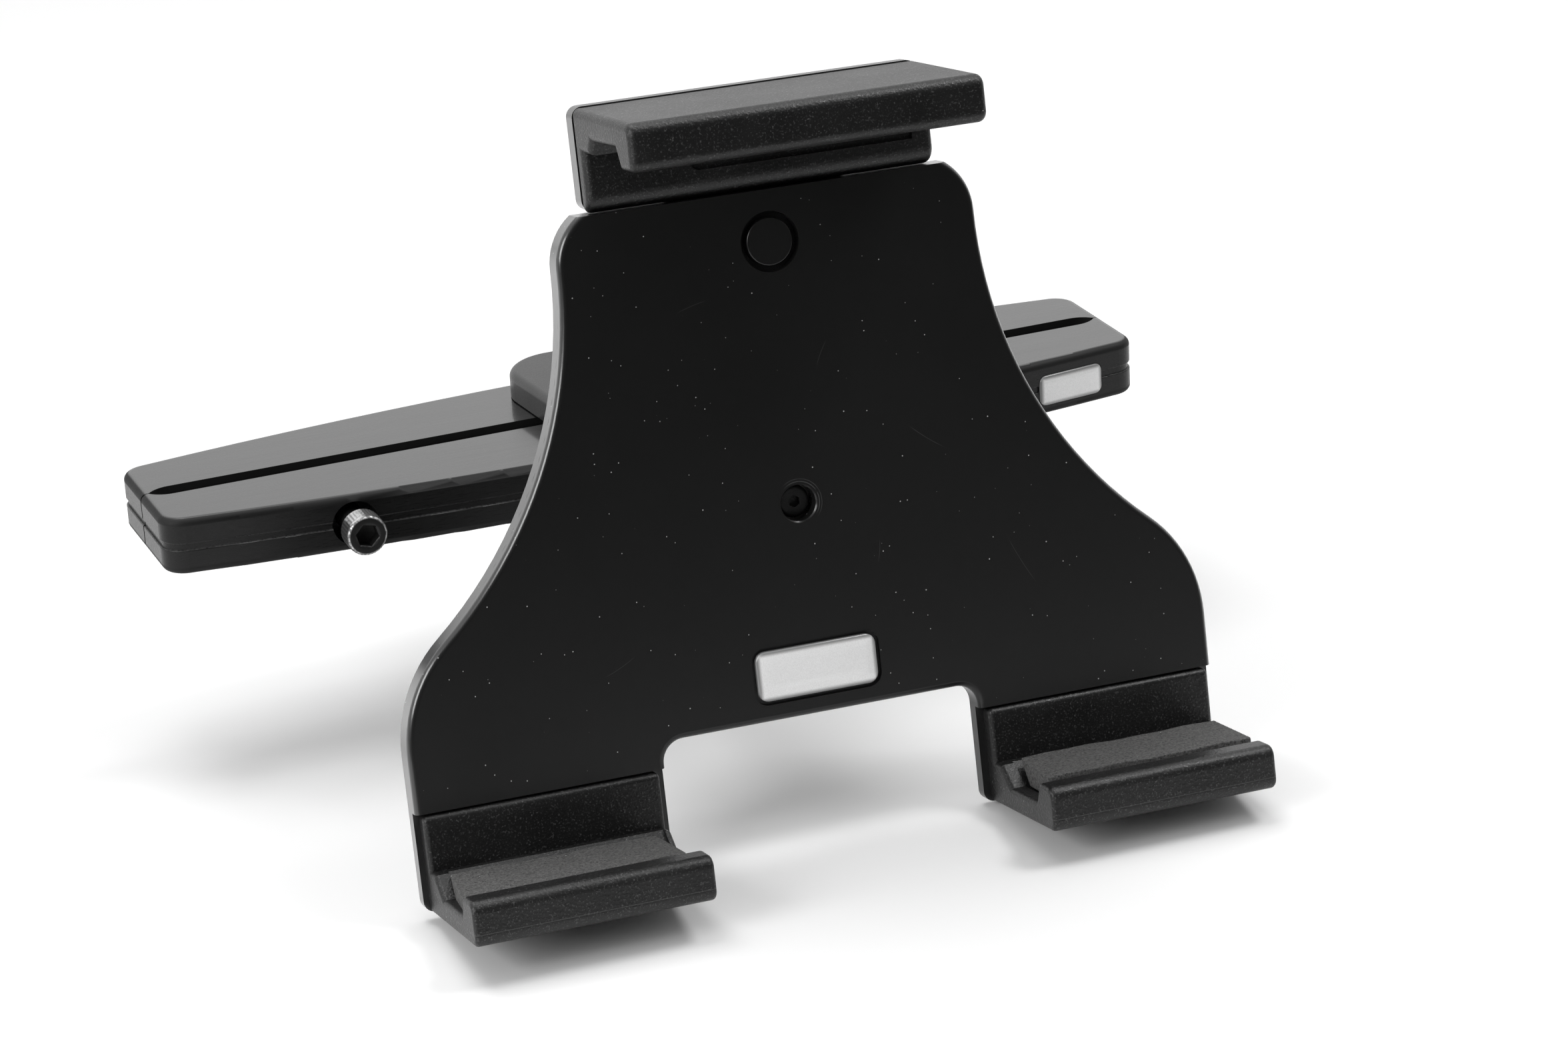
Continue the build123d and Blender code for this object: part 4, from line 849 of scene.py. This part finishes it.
def cap_screw_grid(centre_x, turned):
    """Radius and depth as functions of the turn angle and of the way along the profile."""
    angle = np.linspace(0, 2 * math.pi, TURN_STEPS, endpoint=False)
    sixth = (angle + turned) % (math.pi / 3) - math.pi / 6
    hexagon = SOCKET_HALF / np.cos(sixth)
    ridge = 0.5 + 0.5 * np.cos(KNURLS * angle)
    radius, depth, hexed, kind = cap_screw_profile()
    climb = 0.5 + 0.5 * np.cos(2 * math.pi * depth / PITCH - angle)
    thread = np.clip((depth - THREAD_START) / THREAD_FADE, 0, 1) * THREAD_DEEP * climb
    groove = np.where(kind == THREADED, thread, KNURL_DEEP * np.minimum(kind, 1) * (1 - ridge))
    reach = np.where(hexed > 0, radius * hexagon, radius - groove)
    x = centre_x + reach * np.cos(angle)
    z = reach * np.sin(angle)
    return MM * np.stack(np.broadcast_arrays(x, depth, z), -1)


steel = finishes["black_steel"]
for side, centre_x, turned in (("left", -CAP_X, 0.25), ("right", CAP_X, 0.6)):
    grid = cap_screw_grid(centre_x, turned)
    screw = surface_piece(side + "_cap_screw", grid, steel, smooth_angle=35.0)
    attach(screw, side + "_clamp_screw")
    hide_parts("clamp_screw_" + side)

# %% [markdown]
# ## The return springs
# Two coil springs push the top hook down. They sit in windows of the tongue behind the plate and are
# squeezed against two fixed lugs when the hook is raised.
# A tube follows a helix: the tube's circle stands on the helix's own normal and binormal.

# %% Spring surface
SPRING_X = 13.0
SPRING_OUT = -8.75
SPRING_LOW = 27.95
SPRING_HIGH = 64.05
SPRING_RADIUS = 1.75
WIRE_RADIUS = 0.35
COILS = 9
COIL_STEPS = 24
WIRE_STEPS = 12


def spring_grid(centre_x):
    """Helix (R cos a, R sin a, rise) with a tube of the wire's radius round it."""
    along = np.linspace(0, 1, COILS * COIL_STEPS + 1)
    angle = 2 * math.pi * COILS * along
    rise = SPRING_HIGH - SPRING_LOW
    climb = rise * along
    outward = np.stack([np.cos(angle), np.sin(angle), np.zeros_like(angle)], -1)
    steady = np.full_like(angle, rise / (2 * math.pi * COILS))
    slope = np.stack([-np.sin(angle) * SPRING_RADIUS, np.cos(angle) * SPRING_RADIUS, steady], -1)
    binormal = np.cross(slope / np.linalg.norm(slope, axis=1)[:, None], outward)
    tube = np.linspace(0, 2 * math.pi, WIRE_STEPS, endpoint=False)[:, None]
    size = np.where((along == 0) | (along == 1), 0.0, 1.0)[:, None, None] * WIRE_RADIUS
    line = outward * SPRING_RADIUS + np.stack([0 * climb, 0 * climb, climb], -1)
    circle = outward[:, None] * np.cos(tube) + binormal[:, None] * np.sin(tube)
    ring = line[:, None] + size * circle
    return on_plate(centre_x + ring[..., 0], SPRING_OUT + ring[..., 1], SPRING_LOW + ring[..., 2])


coils = [spring_grid(-SPRING_X), spring_grid(SPRING_X)]
springs = surface_piece("return_spring_coils", coils, finishes["spring_steel"])
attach(springs, "holder")
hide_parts("return_springs")
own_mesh(springs)

# %% [markdown]
# ## Floor and light
# The mount stands in a white studio. A black object is drawn by what it reflects, so the sky is bright
# above and behind it and dim on the camera's side. The camera itself sees plain white behind, and
# so does a mirror ray that leaves towards the back. Three soft lamps add the highlights and the
# shadow on the floor.

# %% Stage
FLOOR_RADIUS = 1.25
FLOOR_BACK = 0.8
FLOOR_GAP = 0.0003
FLOOR_STEPS = 64
FLOOR_TONE = 0.9
floor_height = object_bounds()[0].z - FLOOR_GAP


def add_floor():
    """A flat disc under the object."""
    white = Finish("stage_white", Base_Color=grey(FLOOR_TONE), Roughness=0.9, Specular_IOR_Level=0.1)
    angle = np.linspace(0, 2 * math.pi, FLOOR_STEPS, endpoint=False)
    radius = np.array([0.0, FLOOR_RADIUS])[:, None]
    across, back = radius * np.cos(angle), radius * np.sin(angle) + FLOOR_BACK
    grid = np.stack(np.broadcast_arrays(across, back, floor_height), -1)
    floor = surface_piece("studio_floor", grid, white.material)
    if floor.data.polygons[0].normal.z < 0:
        floor.data.flip_normals()


add_floor()

# Each lamp's name, its place and the length of its side in metres, and its power in watts
LAMPS = (
    ("overhead_softbox", (-0.15, 0.35, 1.5), 0.95, 13.0),
    ("left_softbox", (-1.25, -0.55, 0.65), 0.7, 11.0),
    ("edge_softbox", (0.6, -0.25, 1.1), 0.35, 5.0),
)


def add_softbox(name, place, size, watts):
    """A square area lamp that faces the origin."""
    data = bpy.data.lights.new(name, "AREA")
    data.shape = "SQUARE"
    data.size = size
    data.energy = watts
    lamp = bpy.data.objects.new(name, data)
    bpy.context.collection.objects.link(lamp)
    lamp.location = place
    lamp.rotation_mode = "QUATERNION"
    lamp.rotation_quaternion = (-Vector(place)).to_track_quat("-Z", "Y")


for lamp in LAMPS:
    add_softbox(*lamp)

# %% [markdown]
# ## The sky
# The world shader has two backgrounds. One is the light on the object: its strength grows as the
# ray turns towards the bright side. The other is plain white, for what the camera sees directly.

# %% Sky
BRIGHT_SIDE = (-0.1, 0.75, 0.65)
BRIGHT_SPAN = (-0.75, 0.55)
SKY_STRENGTH = (0.05, 0.55)
BACKDROP_SIDE = (0.0, 0.93, 0.37)
BACKDROP_SPAN = (-0.15, 0.3)
WHITE = (1.0, 1.0, 1.0, 1.0)


def light_the_world():
    """A sky that is bright above and behind and dim in front, with plain white behind the object."""
    world = bpy.data.worlds.new("studio_sky")
    bpy.context.scene.world = world
    world.use_nodes = True
    tree = world.node_tree
    tree.nodes.clear()
    place = tree.nodes.new("ShaderNodeTexCoord")

    def toward(direction, span, strength):
        """Rises over the span of the ray's dot product with a direction, by a smoothstep."""
        aim = tree.nodes.new("ShaderNodeVectorMath")
        aim.operation = "DOT_PRODUCT"
        aim.inputs[1].default_value = Vector(direction).normalized()
        tree.links.new(place.outputs["Generated"], aim.inputs[0])
        fade = tree.nodes.new("ShaderNodeMapRange")
        fade.interpolation_type = "SMOOTHSTEP"
        limits = ("From Min", "From Max", "To Min", "To Max")
        for socket, value in zip(limits, (*span, *strength)):
            fade.inputs[socket].default_value = value
        tree.links.new(aim.outputs["Value"], fade.inputs["Value"])
        return fade.outputs["Result"]

    def together(operation, first, second):
        """One Math node on two sockets."""
        maths = tree.nodes.new("ShaderNodeMath")
        maths.operation = operation
        tree.links.new(first, maths.inputs[0])
        tree.links.new(second, maths.inputs[1])
        return maths.outputs[0]

    sky = tree.nodes.new("ShaderNodeBackground")
    tree.links.new(toward(BRIGHT_SIDE, BRIGHT_SPAN, SKY_STRENGTH), sky.inputs["Strength"])
    plain = tree.nodes.new("ShaderNodeBackground")
    for background in (sky, plain):
        background.inputs["Color"].default_value = WHITE
    plain.inputs["Strength"].default_value = 1.0
    path = tree.nodes.new("ShaderNodeLightPath")
    backdrop = toward(BACKDROP_SIDE, BACKDROP_SPAN, (0.0, 1.0))
    mirrored = together("MULTIPLY", path.outputs["Is Glossy Ray"], backdrop)
    seen = together("MAXIMUM", path.outputs["Is Camera Ray"], path.outputs["Is Transmission Ray"])
    mix = tree.nodes.new("ShaderNodeMixShader")
    tree.links.new(together("MAXIMUM", seen, mirrored), mix.inputs["Fac"])
    tree.links.new(sky.outputs[0], mix.inputs[1])
    tree.links.new(plain.outputs[0], mix.inputs[2])
    output = tree.nodes.new("ShaderNodeOutputWorld")
    tree.links.new(mix.outputs[0], output.inputs["Surface"])


light_the_world()
bpy.context.scene.view_settings.view_transform = "Standard"
